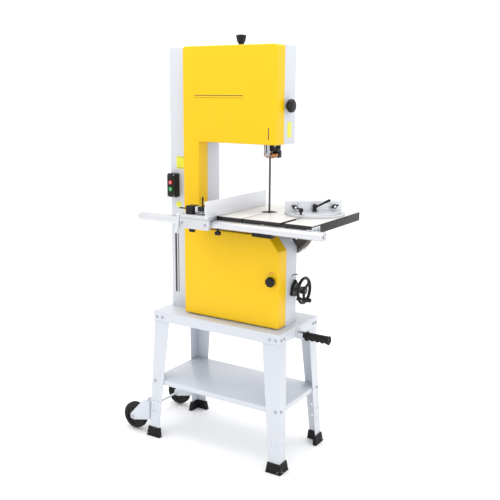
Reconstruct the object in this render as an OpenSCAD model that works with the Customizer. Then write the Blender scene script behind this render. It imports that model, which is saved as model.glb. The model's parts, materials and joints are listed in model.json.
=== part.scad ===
// Floor-standing two-wheel band saw on a sheet-steel stand.
// Origin: centre of the footprint box on the floor. +X right, +Y back, +Z up, millimetres.
// The doors face -Y, the column stands on the left.

/* [Overall] */
// Height of the table top above the floor
table_z = 1025; // [980:1:1060]
// Height of the stand top above the floor
stand_z = 573; // [540:1:600]
// Height of the top of the upper housing
frame_top = 1668; // [1640:1:1700]

/* [Frame] */
// Sheet thickness of the welded frame
sheet = 3; // [2:0.5:5]
// Left face of the column, from the blade
column_left = 465; // [440:1:480]
// Right face of the neck, from the blade (throat width)
throat = 273; // [260:1:280]
// Right side of the upper housing, from the blade
upper_right = 84; // [80:1:100]
// Right side of the lower housing, from the blade
lower_right = 104; // [98:1:112]
// Underside of the upper housing
upper_bottom = 1297; // [1290:1:1300]
// Top of the lower housing
lower_top = 948; // [940:1:950]
// Depth of the frame in front of the blade
frame_front = 37; // [36:1:40]
// Depth of the frame behind the blade
frame_back = 47; // [46:1:50]

/* [Doors] */
// Left edge of both doors, from the blade
door_left = 350; // [345:1:352]
// Depth of the door shells
door_depth = 63; // [50:1:70]
// Sheet thickness of the doors
door_sheet = 2; // [1.5:0.5:3]

/* [Wheels and blade] */
// Diameter over the tyres of the blade wheels
wheel_d = 315; // [310:1:320]
// Width of the blade wheels
wheel_w = 25; // [20:1:25]
// Height of the upper wheel axle
upper_axle_z = 1478; // [1475:1:1480]
// Height of the lower wheel axle
lower_axle_z = 758; // [755:1:760]
// Width of the saw blade
blade_w = 16; // [6:1:16]
// Thickness of the saw blade
blade_t = 0.7; // [0.5:0.1:0.9]

/* [Table] */
// Left edge of the table, from the blade
table_left = 249; // [240:1:252]
// Right edge of the table, from the blade
table_right = 299; // [290:1:305]
// Front edge of the table, from the blade
table_front = 198; // [190:1:205]
// Back edge of the table, from the blade
table_back = 207; // [200:1:215]
// Depth of the table rim
table_rim = 34; // [30:1:36]
// Distance of the mitre slot from the blade
slot_x = 174; // [165:1:180]

/* [Fence] */
// Height of the fence plate
fence_h = 63; // [60:1:80]
// Face of the fence, left of the blade
fence_x = 105; // [102:1:130]
// Left end of the guide rail
rail_left = 477; // [460:1:480]
// Right end of the guide rail
rail_right = 359; // [340:1:370]

/* [Stand] */
// Left edge of the stand top, from the blade
stand_left = 487; // [480:1:495]
// Right edge of the stand top, from the blade
stand_right = 138; // [130:1:145]
// Front edge of the stand top, from the blade
stand_front = 142; // [138:1:150]
// Back edge of the stand top, from the blade
stand_back = 175; // [170:1:180]
// Outward lean of each leg from top to bottom
leg_splay = 25; // [15:1:30]
// Height of the shelf
shelf_z = 266; // [240:1:290]

/* [Transport wheels] */
// Diameter of the transport wheels
tr_wheel_d = 120; // [110:1:124]

/* [Hidden] */
$fn = 96;
// run clearance of shafts, gap between separate moving bodies
run = 0.05;
gap = 0.3;

// footprint and the shift that puts its centre on the origin
tr_r = tr_wheel_d / 2;
tr_x = -stand_left - 113;
tr_z = tr_r + 6;
fence_nose = -285;
motor_end = 240;
shift_x = -(tr_x - tr_r + rail_right) / 2;
shift_y = -(fence_nose + motor_end) / 2;

// wheels
wheel_r = wheel_d / 2;
wheel_x = -wheel_r;
tyre_t = 3.5;
half_w = wheel_w / 2;
rim_t = 8;
hub_r = 27;
hub_half = 14;
bearing_r = 17.5;
bearing_w = 10;
axle_r = 8;
axle_front = -18;
spoke_hole_r = 28;
spoke_hole_at = 88;
wheel_holes = 6;

// frame
yf = -frame_front;
yb = frame_back;
y_in = yb - sheet;
col_x = -column_left;
col_in = -door_left - 2;
neck_x = -throat;
chamfer_x = 46;
chamfer_z = 60;
upper_door_low = 1012;
blade_gate_x = [-16, 46];
blade_gate_y = [-20, 20];

// doors and hinges
door_back = yf - 0.5;
door_front = yf - door_depth;
hinge_x = -door_left - 7;
hinge_y = yf - 7.5;
hinge_r = 5.5;
hinge_pin_r = 3;
hinge_h = 22;
upper_hinges = [1080, 1610];
lower_hinges = [640, 880];
latch_x = 75;
latch_z = 770;

// upper wheel tension slide
slide_y0 = 17;
slide_y1 = 41;
slide_w = 60;
slide_h = 80;
rail_bar = 10;
screw_y = 32;
screw_r = 5;
bridge_z = 1580;
spring_d = 5;
knob_z = frame_top + 22;

// drive
pulley_r = 55;
pulley_y = [16, 34];
motor_x = -252.5;
motor_z = 668;
motor_pulley_r = 20;
motor_r = 68;
motor_shaft_r = 7;
plate_y = [yb + 3, yb + 11];
belt_t = 4;
hand_x = 150;
hand_y = 28;
hand_z = 717;
hand_r = 57;
hand_screw_r = 6;

// guide post and upper guide
post_x = [18, 38];
post_y = [-8, 12];
post_top = 1655;
guide_low = 1239;
pinion_z = 1443;
tooth_m = 1.5;
teeth = 18;
pinion_r = tooth_m * teeth / 2;
rack_deep = 1.4;
pinion_y = post_y[0] + rack_deep - pinion_r;
tooth_pitch = PI * tooth_m;
blade_x0 = gap;
blade_x1 = gap + blade_t;
roller_r = 11;
lower_guide_z = 975;

// table and trunnions
slab = 10;
rim_w = 8;
slot_w = 19;
slot_d = 9.5;
insert_r = 32;
insert_t = 3.5;
cradle_r = 62;
front_seg = [-46, -34];
rear_seg = [50, 62];
arc_seg = [62, 70];
base_back = 61.5;
arc_out = 192;
arc_lip = 12;
lock_angle = -62;
base_z = lower_top;

// rail, fence, mitre gauge
rail_y0 = -242;
rail_y1 = -206;
rail_z0 = 981;
rail_z1 = 1011;
plate_t = 8;
fence_low = table_z + 2;
mitre_y = 57;
mitre_bar_y = [-85, 185];
mitre_angle = 43;
mitre_r = 118;

// stand
stand_cx = (stand_right - stand_left) / 2;
stand_cy = (stand_back - stand_front) / 2;
top_hx = (stand_left + stand_right) / 2;
top_hy = (stand_front + stand_back) / 2;
apron_t = 2.5;
apron_h = 44;
leg_t = 2.5;
leg_top = stand_z - 3;
leg_low = 14;
leg_h = leg_top - leg_low;
leg_hx = top_hx - apron_t - 2.2;
leg_hy = top_hy - apron_t - 2.2;
lean = atan(leg_splay / leg_h);
leg_len = leg_h / cos(lean);
foot_h = 42;

// ---------- helpers ----------
module at_floor() translate([shift_x, shift_y, 0]) children();
module box(x0, x1, y0, y1, z0, z1)
    translate([x0, y0, z0]) cube([x1 - x0, y1 - y0, z1 - z0]);
module cyl_x(x0, x1, y, z, r) translate([x0, y, z]) rotate([0, 90, 0]) cylinder(r = r, h = x1 - x0);
module cyl_y(x, y0, y1, z, r) translate([x, y0, z]) rotate([-90, 0, 0]) cylinder(r = r, h = y1 - y0);
module cyl_z(x, y, z0, z1, r) translate([x, y, z0]) cylinder(r = r, h = z1 - z0);
// extrudes an outline drawn in the X-Z plane between two Y positions
module panel(y0, y1) translate([0, y1, 0]) rotate([90, 0, 0]) linear_extrude(height = y1 - y0) children();
// extrudes an outline drawn in the Y-Z plane between two X positions
module side_panel(x0, x1)
    translate([x0, 0, 0]) rotate([90, 0, 90]) linear_extrude(height = x1 - x0) children();

// loop around two round centres: ax, az, ar and bx, bz, br, with bulge g outside both
function loop(ax, az, ar, bx, bz, br, g, n = 40) =
    let (d = norm([bx - ax, bz - az]), dir = atan2(bz - az, bx - ax), s = acos((ar - br) / d))
    concat(
        [for (i = [0:n]) let (a = dir + s + (360 - 2 * s) * i / n)
            [ax + (ar + g) * cos(a), az + (ar + g) * sin(a)]],
        [for (i = [0:n]) let (a = dir - s + 2 * s * i / n)
            [bx + (br + g) * cos(a), bz + (br + g) * sin(a)]]);

// ---------- frame ----------
module column() color([0.86, 0.87, 0.89]) at_floor() difference() {
    box(col_x, col_in, yf, yb, stand_z, frame_top);
    box(col_x + sheet, col_in - sheet, yf + sheet, yb - sheet, stand_z + sheet, frame_top - sheet);
}

module upper_housing() color([0.86, 0.87, 0.89]) at_floor() difference() {
    box(col_in, upper_right, yf, yb, upper_bottom, frame_top);
    box(col_in - 1, upper_right - sheet, yf - 1, y_in, upper_bottom + sheet, frame_top - sheet);
    box(col_in - 1, neck_x - sheet, yf - 1, y_in, upper_bottom - 1, upper_bottom + sheet + 1);
    box(blade_gate_x[0], blade_gate_x[1], blade_gate_y[0], blade_gate_y[1],
        upper_bottom - 1, upper_bottom + sheet + 1);
    cyl_z(wheel_x, screw_y, frame_top - sheet - 1, frame_top + 1, screw_r + 1);
    cyl_x(upper_right - sheet - 1, upper_right + 1, pinion_y, pinion_z, 8 + run);
}

module neck() color([0.86, 0.87, 0.89]) at_floor() difference() {
    box(col_in, neck_x, yf, yb, lower_top, upper_bottom);
    box(col_in - 1, neck_x - sheet, yf + sheet, y_in, lower_top - 1, upper_bottom + 1);
    box(col_in - 1, neck_x - sheet, yf - 1, yf + sheet + 1, upper_door_low, upper_bottom + 1);
}

module lower_outline(inset) {
    x0 = col_in;
    x1 = lower_right - inset;
    z0 = stand_z + inset;
    z1 = lower_top - inset;
    polygon([[x0 - (inset > 0 ? 1 : 0), z0], [x1, z0], [x1, z1 - chamfer_z + inset * 0.4],
             [x1 - chamfer_x + inset * 0.2, z1], [x0 - (inset > 0 ? 1 : 0), z1]]);
}

module lower_housing() color([0.86, 0.87, 0.89]) at_floor() difference() {
    panel(yf, yb) lower_outline(0);
    panel(yf - 1, y_in) lower_outline(sheet);
    // gates for the two blade runs
    box(col_in - 1, neck_x - sheet, yf - 1, y_in, lower_top - sheet - 1, lower_top + 1);
    box(-6, 8, -14, 14, lower_top - sheet - 1, lower_top + 1);
    // motor shaft slot, dust port, belt screw hole, lug window
    for (x = [0, 12]) cyl_y(motor_x + x, y_in - 1, yb + 1, motor_z, motor_shaft_r + 3);
    box(motor_x, motor_x + 12, y_in - 1, yb + 1, motor_z - motor_shaft_r - 3, motor_z + motor_shaft_r + 3);
    cyl_y(20, y_in - 1, yb + 1, 640, 46);
    cyl_x(lower_right - sheet - 1, lower_right + 1, hand_y, hand_z, hand_screw_r + run);
    box(-100, -62, y_in - 1, yb + 1, hand_z - 11, hand_z + 11);
}

module hinge_pins() color([0.55, 0.56, 0.58]) at_floor()
    for (z = concat(upper_hinges, lower_hinges)) {
        box(hinge_x - hinge_r, hinge_x + hinge_r, hinge_y, yf, z - 9, z);
        cyl_z(hinge_x, hinge_y, z - 9, z, hinge_r);
        cyl_z(hinge_x, hinge_y, z, z + hinge_h, hinge_pin_r);
    }

// ---------- doors ----------
module door_knuckles(list) {
    for (z = list) difference() {
        union() {
            cyl_z(hinge_x, hinge_y, z + gap, z + hinge_h, hinge_r);
            box(hinge_x, -door_left + 1, hinge_y - hinge_r, hinge_y - 1.5, z + gap, z + hinge_h);
        }
        cyl_z(hinge_x, hinge_y, z - 1, z + hinge_h + 1, hinge_pin_r + run);
    }
}

module upper_door_outline(i) {
    polygon([[-door_left + i, upper_door_low + i], [neck_x - i, upper_door_low + i],
             [neck_x - i, upper_bottom + i], [upper_right - i, upper_bottom + i],
             [upper_right - i, frame_top - 14], [upper_right - 14, frame_top - i],
             [-door_left + 14, frame_top - i], [-door_left + i, frame_top - 14]]);
}

module upper_door() color([0.96, 0.80, 0.10]) at_floor() {
    difference() {
        panel(door_front, door_back) upper_door_outline(0);
        panel(door_front + door_sheet, door_back + 1) upper_door_outline(door_sheet);
    }
    door_knuckles(upper_hinges);
}

module lower_door_outline(i) {
    polygon([[-door_left + i, stand_z + 6 + i], [lower_right - i, stand_z + 6 + i],
             [lower_right - i, lower_top - chamfer_z], [lower_right - chamfer_x, lower_top - i],
             [-door_left + 16, lower_top - i], [-door_left + i, lower_top - 16]]);
}

module lower_door() color([0.96, 0.80, 0.10]) at_floor() {
    difference() {
        panel(door_front, door_back) lower_door_outline(0);
        panel(door_front + door_sheet, door_back + 1) lower_door_outline(door_sheet);
        cyl_y(latch_x, door_front - 1, door_front + door_sheet + 1, latch_z, 6 + run);
    }
    door_knuckles(lower_hinges);
}

module door_latch() color([0.07, 0.07, 0.08]) at_floor() {
    cyl_y(latch_x, door_front - 24, door_front - 8, latch_z, 20.5);
    cyl_y(latch_x, door_front - 8, door_front - 1, latch_z, 12);
    cyl_y(latch_x, door_front - 1, yf + 1, latch_z, 6);
    box(latch_x - 10, latch_x + 20, yf + 1, yf + 5, latch_z - 8, latch_z + 8);
}

// ---------- upper wheel and tension ----------
module slide_rails_piece() color([0.45, 0.46, 0.48]) at_floor()
    for (s = [-1, 1])
        translate([wheel_x + s * (slide_w / 2 + 0.4 + rail_bar / 2), 0, 0])
            box(-rail_bar / 2, rail_bar / 2, 20, y_in, 1395, 1595);

module tension_bridge_piece() color([0.45, 0.46, 0.48]) at_floor() difference() {
    box(wheel_x - slide_w / 2, wheel_x + slide_w / 2, 21, 43, bridge_z, bridge_z + 8);
    cyl_z(wheel_x, screw_y, bridge_z - 1, bridge_z + 9, screw_r + 0.4);
}

module wheel_carrier_piece() color([0.30, 0.31, 0.33]) at_floor() difference() {
    union() {
        box(wheel_x - slide_w / 2, wheel_x + slide_w / 2, slide_y0 + 4, slide_y1,
            upper_axle_z - slide_h / 2, upper_axle_z + slide_h / 2 - 2);
        cyl_y(wheel_x, slide_y0, slide_y0 + 5, upper_axle_z, 18);
    }
    cyl_y(wheel_x, slide_y0 - 1, slide_y0 + 9, upper_axle_z, axle_r);
    cyl_z(wheel_x, screw_y, upper_axle_z - slide_h, upper_axle_z + slide_h, screw_r + run);
}

module upper_axle_piece() color([0.70, 0.71, 0.73]) at_floor() {
    cyl_y(wheel_x, axle_front, slide_y0 + 9, upper_axle_z, axle_r);
    cyl_y(wheel_x, axle_front - 3, axle_front, upper_axle_z, 12);
}

module tension_screw_piece() color([0.60, 0.61, 0.63]) at_floor()
    cyl_z(wheel_x, screw_y, upper_axle_z - slide_h / 2 - 20, knob_z + 4, screw_r);

module tension_knob_piece() color([0.07, 0.07, 0.08]) at_floor() difference() {
    union() {
        cyl_z(wheel_x, screw_y, frame_top + 2, frame_top + 16, 11);
        translate([wheel_x, screw_y, frame_top + 16]) cylinder(r1 = 15, r2 = 21, h = 31);
    }
    cyl_z(wheel_x, screw_y, frame_top + 1, knob_z + 4, screw_r);
}

module tension_spring() color([0.50, 0.52, 0.55]) at_floor()
    for (i = [0:7])
        translate([wheel_x, screw_y, upper_axle_z + slide_h / 2 + 1 + spring_d / 2 + i * 7.6])
            rotate_extrude() translate([8.5, 0]) circle(d = spring_d - 0.6, $fn = 24);

module wheel_body(z) difference() {
    union() {
        cyl_y(wheel_x, -half_w, half_w, z, wheel_r - tyre_t);
        cyl_y(wheel_x, -hub_half, hub_half, z, hub_r);
    }
    // dished faces between hub and rim
    for (y = [[-half_w - 1, -4], [4, half_w + 1]]) difference() {
        cyl_y(wheel_x, y[0], y[1], z, wheel_r - tyre_t - rim_t);
        cyl_y(wheel_x, y[0] - 1, y[1] + 1, z, hub_r);
    }
    for (i = [0:wheel_holes - 1]) let (a = 30 + i * 360 / wheel_holes)
        cyl_y(wheel_x + spoke_hole_at * cos(a), -half_w, half_w, z + spoke_hole_at * sin(a), spoke_hole_r);
    cyl_y(wheel_x, -hub_half - 1, hub_half + 1, z, bearing_r);
}

module wheel_tyre(z) difference() {
    cyl_y(wheel_x, -half_w, half_w, z, wheel_r);
    cyl_y(wheel_x, -half_w - 1, half_w + 1, z, wheel_r - tyre_t);
}

module wheel_bearings(z) for (y = [-hub_half + 2, hub_half - 2 - bearing_w]) difference() {
    cyl_y(wheel_x, y, y + bearing_w, z, bearing_r);
    cyl_y(wheel_x, y - 1, y + bearing_w + 1, z, axle_r + run);
}

module upper_wheel_piece() color([0.72, 0.73, 0.75]) at_floor() wheel_body(upper_axle_z);
module upper_tyre() color([0.10, 0.10, 0.11]) at_floor() wheel_tyre(upper_axle_z);
module upper_bearings_piece() color([0.62, 0.63, 0.65]) at_floor() wheel_bearings(upper_axle_z);

// ---------- lower wheel and drive ----------
module lower_axle() color([0.70, 0.71, 0.73]) at_floor() {
    cyl_y(wheel_x, axle_front, y_in, lower_axle_z, axle_r);
    cyl_y(wheel_x, axle_front - 3, axle_front, lower_axle_z, 12);
    difference() {
        cyl_y(wheel_x, y_in - 7, y_in, lower_axle_z, 30);
        cyl_y(wheel_x, y_in - 8, y_in + 1, lower_axle_z, axle_r);
    }
}

module lower_wheel_piece() color([0.72, 0.73, 0.75]) at_floor() wheel_body(lower_axle_z);
module lower_tyre() color([0.10, 0.10, 0.11]) at_floor() wheel_tyre(lower_axle_z);
module lower_bearings_piece() color([0.62, 0.63, 0.65]) at_floor() wheel_bearings(lower_axle_z);

module drive_pulley_piece() color([0.66, 0.67, 0.69]) at_floor() difference() {
    union() {
        cyl_y(wheel_x, pulley_y[0], pulley_y[1], lower_axle_z, pulley_r);
        for (y = [pulley_y[0], pulley_y[1] - 2]) cyl_y(wheel_x, y, y + 2, lower_axle_z, pulley_r + 3);
        cyl_y(wheel_x, hub_half, pulley_y[0], lower_axle_z, hub_r);
    }
    cyl_y(wheel_x, hub_half - 1, pulley_y[1] + 1, lower_axle_z, axle_r + 1.5);
}

module drive_belt() color([0.06, 0.06, 0.07]) at_floor()
    panel(pulley_y[0] + 4, pulley_y[1] - 4) difference() {
    polygon(loop(wheel_x, lower_axle_z, pulley_r, motor_x, motor_z, motor_pulley_r, gap + belt_t));
    polygon(loop(wheel_x, lower_axle_z, pulley_r, motor_x, motor_z, motor_pulley_r, gap));
}

module motor_pulley_piece() color([0.66, 0.67, 0.69]) at_floor() difference() {
    union() {
        cyl_y(motor_x, pulley_y[0] + 2, pulley_y[1] - 2, motor_z, motor_pulley_r);
        for (y = [pulley_y[0], pulley_y[1] - 2]) cyl_y(motor_x, y, y + 2, motor_z, motor_pulley_r + 3);
    }
    cyl_y(motor_x, pulley_y[0] - 1, pulley_y[1] + 1, motor_z, motor_shaft_r);
}

module motor_shaft_piece() color([0.70, 0.71, 0.73]) at_floor()
    cyl_y(motor_x, pulley_y[0], plate_y[1], motor_z, motor_shaft_r);

module motor_plate_piece() color([0.35, 0.36, 0.38]) at_floor() {
    difference() {
        box(motor_x - 76, -64, plate_y[0], plate_y[1], motor_z - 76, motor_z + 76);
        cyl_y(motor_x, plate_y[0] - 1, plate_y[1] + 1, motor_z, motor_shaft_r + run);
    }
    // lug that the belt screw pulls on
    difference() {
        box(-92, -76, hand_y - 9, plate_y[0], hand_z - 9, hand_z + 9);
        cyl_x(-93, -75, hand_y, hand_z, hand_screw_r + run);
    }
}

module motor_piece() color([0.22, 0.24, 0.27]) at_floor() {
    cyl_y(motor_x, plate_y[1], motor_end - 22, motor_z, motor_r);
    cyl_y(motor_x, motor_end - 22, motor_end, motor_z, motor_r - 5);
    // terminal box with the supply gland
    box(motor_x - 32, motor_x + 32, 100, 180, motor_z + motor_r - 8, motor_z + motor_r + 26);
    cyl_x(motor_x + 32, motor_x + 50, 140, motor_z + motor_r + 10, 9);
}

module belt_handwheel_piece() color([0.06, 0.06, 0.07]) at_floor() translate([hand_x, hand_y, hand_z])
    rotate([0, 90, 0]) {
        rotate_extrude() translate([hand_r - 6.5, 0]) circle(r = 6.5, $fn = 32);
        difference() {
            translate([0, 0, -14]) cylinder(r = 15, h = 24);
            translate([0, 0, -15]) cylinder(r = hand_screw_r, h = 26);
        }
        for (a = [0, 120, 240]) rotate([0, 0, a]) translate([13, -5, -4]) cube([hand_r - 6.5 - 13, 10, 8]);
    }

module belt_screw_piece() color([0.60, 0.61, 0.63]) at_floor()
    cyl_x(-98, hand_x + 9, hand_y, hand_z, hand_screw_r);

module crank_grip() color([0.06, 0.06, 0.07]) at_floor() translate([hand_x, hand_y, hand_z])
    rotate([28, 0, 0]) rotate([0, 90, 0]) {
        translate([0, -(hand_r - 6.5), 7]) cylinder(r = 5, h = 10);
        translate([0, -(hand_r - 6.5), 17]) cylinder(r = 9.5, h = 38);
    }

module lock_ring() color([0.06, 0.06, 0.07]) at_floor() difference() {
    union() {
        cyl_x(lower_right + 0.5, lower_right + 12, hand_y, hand_z, 30);
        for (a = [30:120:270]) translate([lower_right + 0.5, hand_y, hand_z]) rotate([a, 0, 0])
            box(0, 12, 26, 40, -5, 5);
    }
    cyl_x(lower_right - 1, lower_right + 13, hand_y, hand_z, hand_screw_r + run);
}

module saw_blade() color([0.55, 0.56, 0.58]) at_floor() panel(-blade_w / 2, blade_w / 2) difference() {
    polygon(loop(wheel_x, lower_axle_z, wheel_r, wheel_x, upper_axle_z, wheel_r, blade_x1, 48));
    polygon(loop(wheel_x, lower_axle_z, wheel_r, wheel_x, upper_axle_z, wheel_r, blade_x0, 48));
}

// ---------- upper guide ----------
module post_bracket_piece() color([0.35, 0.36, 0.38]) at_floor()
    for (z = [[1300, 1320], [1400, 1424]]) difference() {
    box(post_x[0] - 7, post_x[1] + 10, post_y[0] - 7, y_in, z[0], z[1]);
    box(post_x[0] - gap, post_x[1] + gap, post_y[0] - gap - 0.1, post_y[1] + gap, z[0] - 1, z[1] + 1);
}

// the post carries rack teeth on its front face
module guide_post() color([0.72, 0.73, 0.75]) at_floor() difference() {
    box(post_x[0], post_x[1], post_y[0], post_y[1], guide_low + 30, post_top);
    for (k = [-2:43]) side_panel(post_x[0] - 1, post_x[1] + 1)
        polygon([for (q = [[-1, -2.15], [-1, 2.15], [3.3, 0.586], [3.3, -0.586]])
            [post_y[0] + q[0], pinion_z + k * tooth_pitch + q[1]]]);
}

// half angle of an involute tooth at radius r
base_r = pinion_r * cos(20);
function half_tooth(r) = let (a = acos(min(1, base_r / max(r, base_r))))
    5.43 - (tan(a) * 180 / PI - a);

module guide_pinion_piece() color([0.60, 0.61, 0.63]) at_floor() {
    side_panel(post_x[0] + 1, post_x[1] - 1) translate([pinion_y, pinion_z])
        polygon([for (i = [0:teeth - 1]) for (q = [[11.6, -1], [12.7, -1], [13.6, -1], [14.8, -1],
                                                 [14.8, 1], [13.6, 1], [12.7, 1], [11.6, 1]])
            let (a = i * 360 / teeth + q[1] * half_tooth(q[0])) [q[0] * cos(a), q[0] * sin(a)]]);
    cyl_x(post_x[1] - 1, upper_right + 26, pinion_y, pinion_z, 8);
}

module guide_knob_piece() color([0.07, 0.07, 0.08]) at_floor() difference() {
    union() {
        cyl_x(upper_right + 4, upper_right + 12, pinion_y, pinion_z, 14);
        cyl_x(upper_right + 12, upper_right + 32, pinion_y, pinion_z, 26);
    }
    cyl_x(upper_right + 3, upper_right + 26, pinion_y, pinion_z, 8);
}

// block with two lugs that holds one back roller and two side rollers
module roller_block(z, right, low, high) {
    box(-24, -6, blade_w / 2, 30, z - 9, z + 9);
    box(7, right, blade_w / 2, 30, z - 9, z + 9);
    box(-24, right, 10, 30, low, high);
}

module guide_block_piece() color([0.08, 0.08, 0.09]) at_floor() difference() {
    union() {
        roller_block(guide_low + 11, 48, guide_low + 24, guide_low + 30);
        for (x = [[-24, -6], [7, 48]]) box(x[0], x[1], blade_w / 2, 30, guide_low + 20, guide_low + 30);
        box(8, 48, -12, blade_w / 2 + 1, guide_low + 22, guide_low + 30);
    }
    for (x = side_roller_x) cyl_y(x, 7, 15, guide_low + 11, 3);
    cyl_x(-12, 13, thrust_y, guide_low + 11, 3);
}

side_roller_x = [blade_x0 - gap - roller_r, blade_x1 + gap + roller_r];
thrust_y = blade_w / 2 + gap + roller_r;

module roller_pins(z) {
    for (x = side_roller_x) cyl_y(x, -6, 15, z, 3);
    cyl_x(-12, 13, thrust_y, z, 3);
}
module upper_guide_pins_piece() color([0.60, 0.61, 0.63]) at_floor() roller_pins(guide_low + 11);
module lower_guide_pins_piece() color([0.60, 0.61, 0.63]) at_floor() roller_pins(lower_guide_z);

module side_roller(x, z) difference() {
    cyl_y(x, -4, 4, z, roller_r);
    cyl_y(x, -5, 5, z, 3 + run);
}
module thrust_roller(z) difference() {
    cyl_x(-4, 5, thrust_y, z, roller_r);
    cyl_x(-5, 6, thrust_y, z, 3 + run);
}
module upper_roller_left() color([0.75, 0.50, 0.25]) at_floor()
    side_roller(side_roller_x[0], guide_low + 11);
module upper_roller_right() color([0.75, 0.50, 0.25]) at_floor()
    side_roller(side_roller_x[1], guide_low + 11);
module upper_roller_back() color([0.75, 0.50, 0.25]) at_floor() thrust_roller(guide_low + 11);
module lower_roller_left_piece() color([0.75, 0.50, 0.25]) at_floor()
    side_roller(side_roller_x[0], lower_guide_z);
module lower_roller_right_piece() color([0.75, 0.50, 0.25]) at_floor()
    side_roller(side_roller_x[1], lower_guide_z);
module lower_roller_back_piece() color([0.75, 0.50, 0.25]) at_floor() thrust_roller(lower_guide_z);

module blade_guard() color([0.75, 0.76, 0.78]) at_floor() {
    box(-13, 9, -17, -15.5, guide_low + 8, guide_low + 195);
    box(8, 14, -17, -12, guide_low + 22, guide_low + 30);
}

// ---------- lower guide and trunnions ----------
module lower_guide_block_piece() color([0.08, 0.08, 0.09]) at_floor() difference() {
    union() {
        roller_block(lower_guide_z, 22, base_z + 8, base_z + 14);
        for (x = [[-24, -6], [7, 22]]) box(x[0], x[1], 10, 30, base_z + 13, lower_guide_z);
    }
    for (x = side_roller_x) cyl_y(x, 7, 15, lower_guide_z, 3);
    cyl_x(-12, 13, thrust_y, lower_guide_z, 3);
}

module trunnion_base_piece() color([0.38, 0.39, 0.41]) at_floor() difference() {
    union() {
        box(-75, 48, front_seg[0], base_back, base_z, base_z + 8);
        for (s = [front_seg, [rear_seg[0], base_back]]) {
            box(-62, -20, s[0], s[1], base_z + 8, base_z + 34);
            box(-21, 30, s[0], s[1], base_z + 8, base_z + 20);
        }
    }
    cyl_y(0, front_seg[0] - 1, rear_seg[1] + 1, table_z, cradle_r + gap);
    box(-8, 9, -15, 15, base_z - 1, base_z + 9);
}

function ring_pts(r0, r1, a0, a1, n = 24) = concat(
    [for (i = [0:n]) let (a = a0 + (a1 - a0) * i / n) [r1 * cos(a), table_z + r1 * sin(a)]],
    [for (i = [n:-1:0]) let (a = a0 + (a1 - a0) * i / n) [r0 * cos(a), table_z + r0 * sin(a)]]);

module table_trunnions() color([0.50, 0.51, 0.53]) at_floor() {
    for (s = [front_seg, rear_seg]) difference() {
        cyl_y(0, s[0], s[1], table_z, cradle_r);
        box(-cradle_r - 1, cradle_r + 1, s[0] - 1, s[1] + 1, table_z - slab, table_z + cradle_r + 1);
    }
    // lock arc behind the rear segment, with a lip along its outer edge
    difference() {
        panel(arc_seg[0], arc_seg[1]) polygon(concat(
            [[-24, table_z - slab], [148, table_z - slab], [148, table_z - 22]],
            [for (i = [0:24]) let (a = -8 - 62 * i / 24) [arc_out * cos(a), table_z + arc_out * sin(a)]],
            [[-24, table_z - 54]]));
        panel(arc_seg[0] - 1, arc_seg[1] + 1) polygon(ring_pts(133, 145, -11, -67));
        panel(arc_seg[0] - 1, arc_seg[1] + 1) polygon(ring_pts(74, 120, -14, -58, 16));
    }
    panel(rear_seg[0], arc_seg[0]) polygon(ring_pts(arc_out - arc_lip, arc_out, -12, -70));
}

lock_x = (133 + 145) / 2 * cos(lock_angle);
lock_z = table_z + (133 + 145) / 2 * sin(lock_angle);

module tilt_bolt_piece() color([0.60, 0.61, 0.63]) at_floor() cyl_y(lock_x, yb, arc_seg[1] + 24, lock_z, 5);

module tilt_lock() color([0.07, 0.07, 0.08]) at_floor() difference() {
    union() {
        cyl_y(lock_x, arc_seg[1] + 1, arc_seg[1] + 20, lock_z, 13);
        translate([lock_x, arc_seg[1] + 11, lock_z]) rotate([0, -140, 0]) cylinder(r = 6, h = 72);
    }
    cyl_y(lock_x, arc_seg[1], arc_seg[1] + 25, lock_z, 5 + run);
}

// ---------- table ----------
module table_top() color([0.80, 0.80, 0.80]) at_floor() difference() {
    union() {
        box(-table_left, table_right, -table_front, table_back, table_z - slab, table_z);
        difference() {
            box(-table_left, table_right, -table_front, table_back, table_z - table_rim, table_z - slab);
            box(-table_left + rim_w, table_right - rim_w, -table_front + rim_w, table_back - rim_w,
                table_z - table_rim - 1, table_z - slab + 1);
        }
        box(slot_x - 17, slot_x + 17, -table_front, table_back, table_z - 19, table_z - slab);
        for (y = [-112, 108]) box(-table_left, table_right, y, y + 6, table_z - 26, table_z - slab);
        box(-126, -120, -table_front, table_back, table_z - 26, table_z - slab);
    }
    box(slot_x - slot_w / 2, slot_x + slot_w / 2, -table_front - 1, table_back + 1,
        table_z - slot_d, table_z + 1);
    cyl_z(0, 0, table_z - slab - 1, table_z + 1, insert_r - 6);
    cyl_z(0, 0, table_z - insert_t, table_z + 1, insert_r);
    box(-1.2, 2.4, -table_front - 1, 0, table_z - table_rim - 1, table_z + 1);
}

module table_insert() color([0.13, 0.13, 0.14]) at_floor() difference() {
    cyl_z(0, 0, table_z - insert_t, table_z, insert_r - 0.2);
    box(-2.5, 7.5, -16, 22, table_z - insert_t - 1, table_z + 1);
}

// ---------- rail ----------
module guide_rail() color([0.80, 0.81, 0.83]) at_floor() {
    zc = (rail_z0 + rail_z1) / 2;
    r = (rail_z1 - rail_z0) / 2;
    side_panel(-rail_left, rail_right) difference() {
        polygon(concat([[rail_y1, rail_z0]], [for (i = [0:16]) let (a = -90 - 180 * i / 16)
            [rail_y0 + r + r * cos(a), zc + r * sin(a)]], [[rail_y1, rail_z1]]));
        translate([rail_y0 + r - 3, zc]) circle(r = 7.5);
        for (z = [rail_z0 + 7, rail_z1 - 7]) translate([rail_y1 - 7, z]) circle(r = 3);
    }
}

module rail_brackets_piece() color([0.74, 0.75, 0.77]) at_floor() {
    for (x = [-210, 80]) box(x, x + 28, rail_y1, -table_front, table_z - 32, table_z - 15);
    box(table_right, table_right + 4, rail_y1, -table_front + 52, table_z - 32, table_z - 4);
    box(table_right - 22, table_right, rail_y1, -table_front, table_z - 32, table_z - 13);
}

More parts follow.
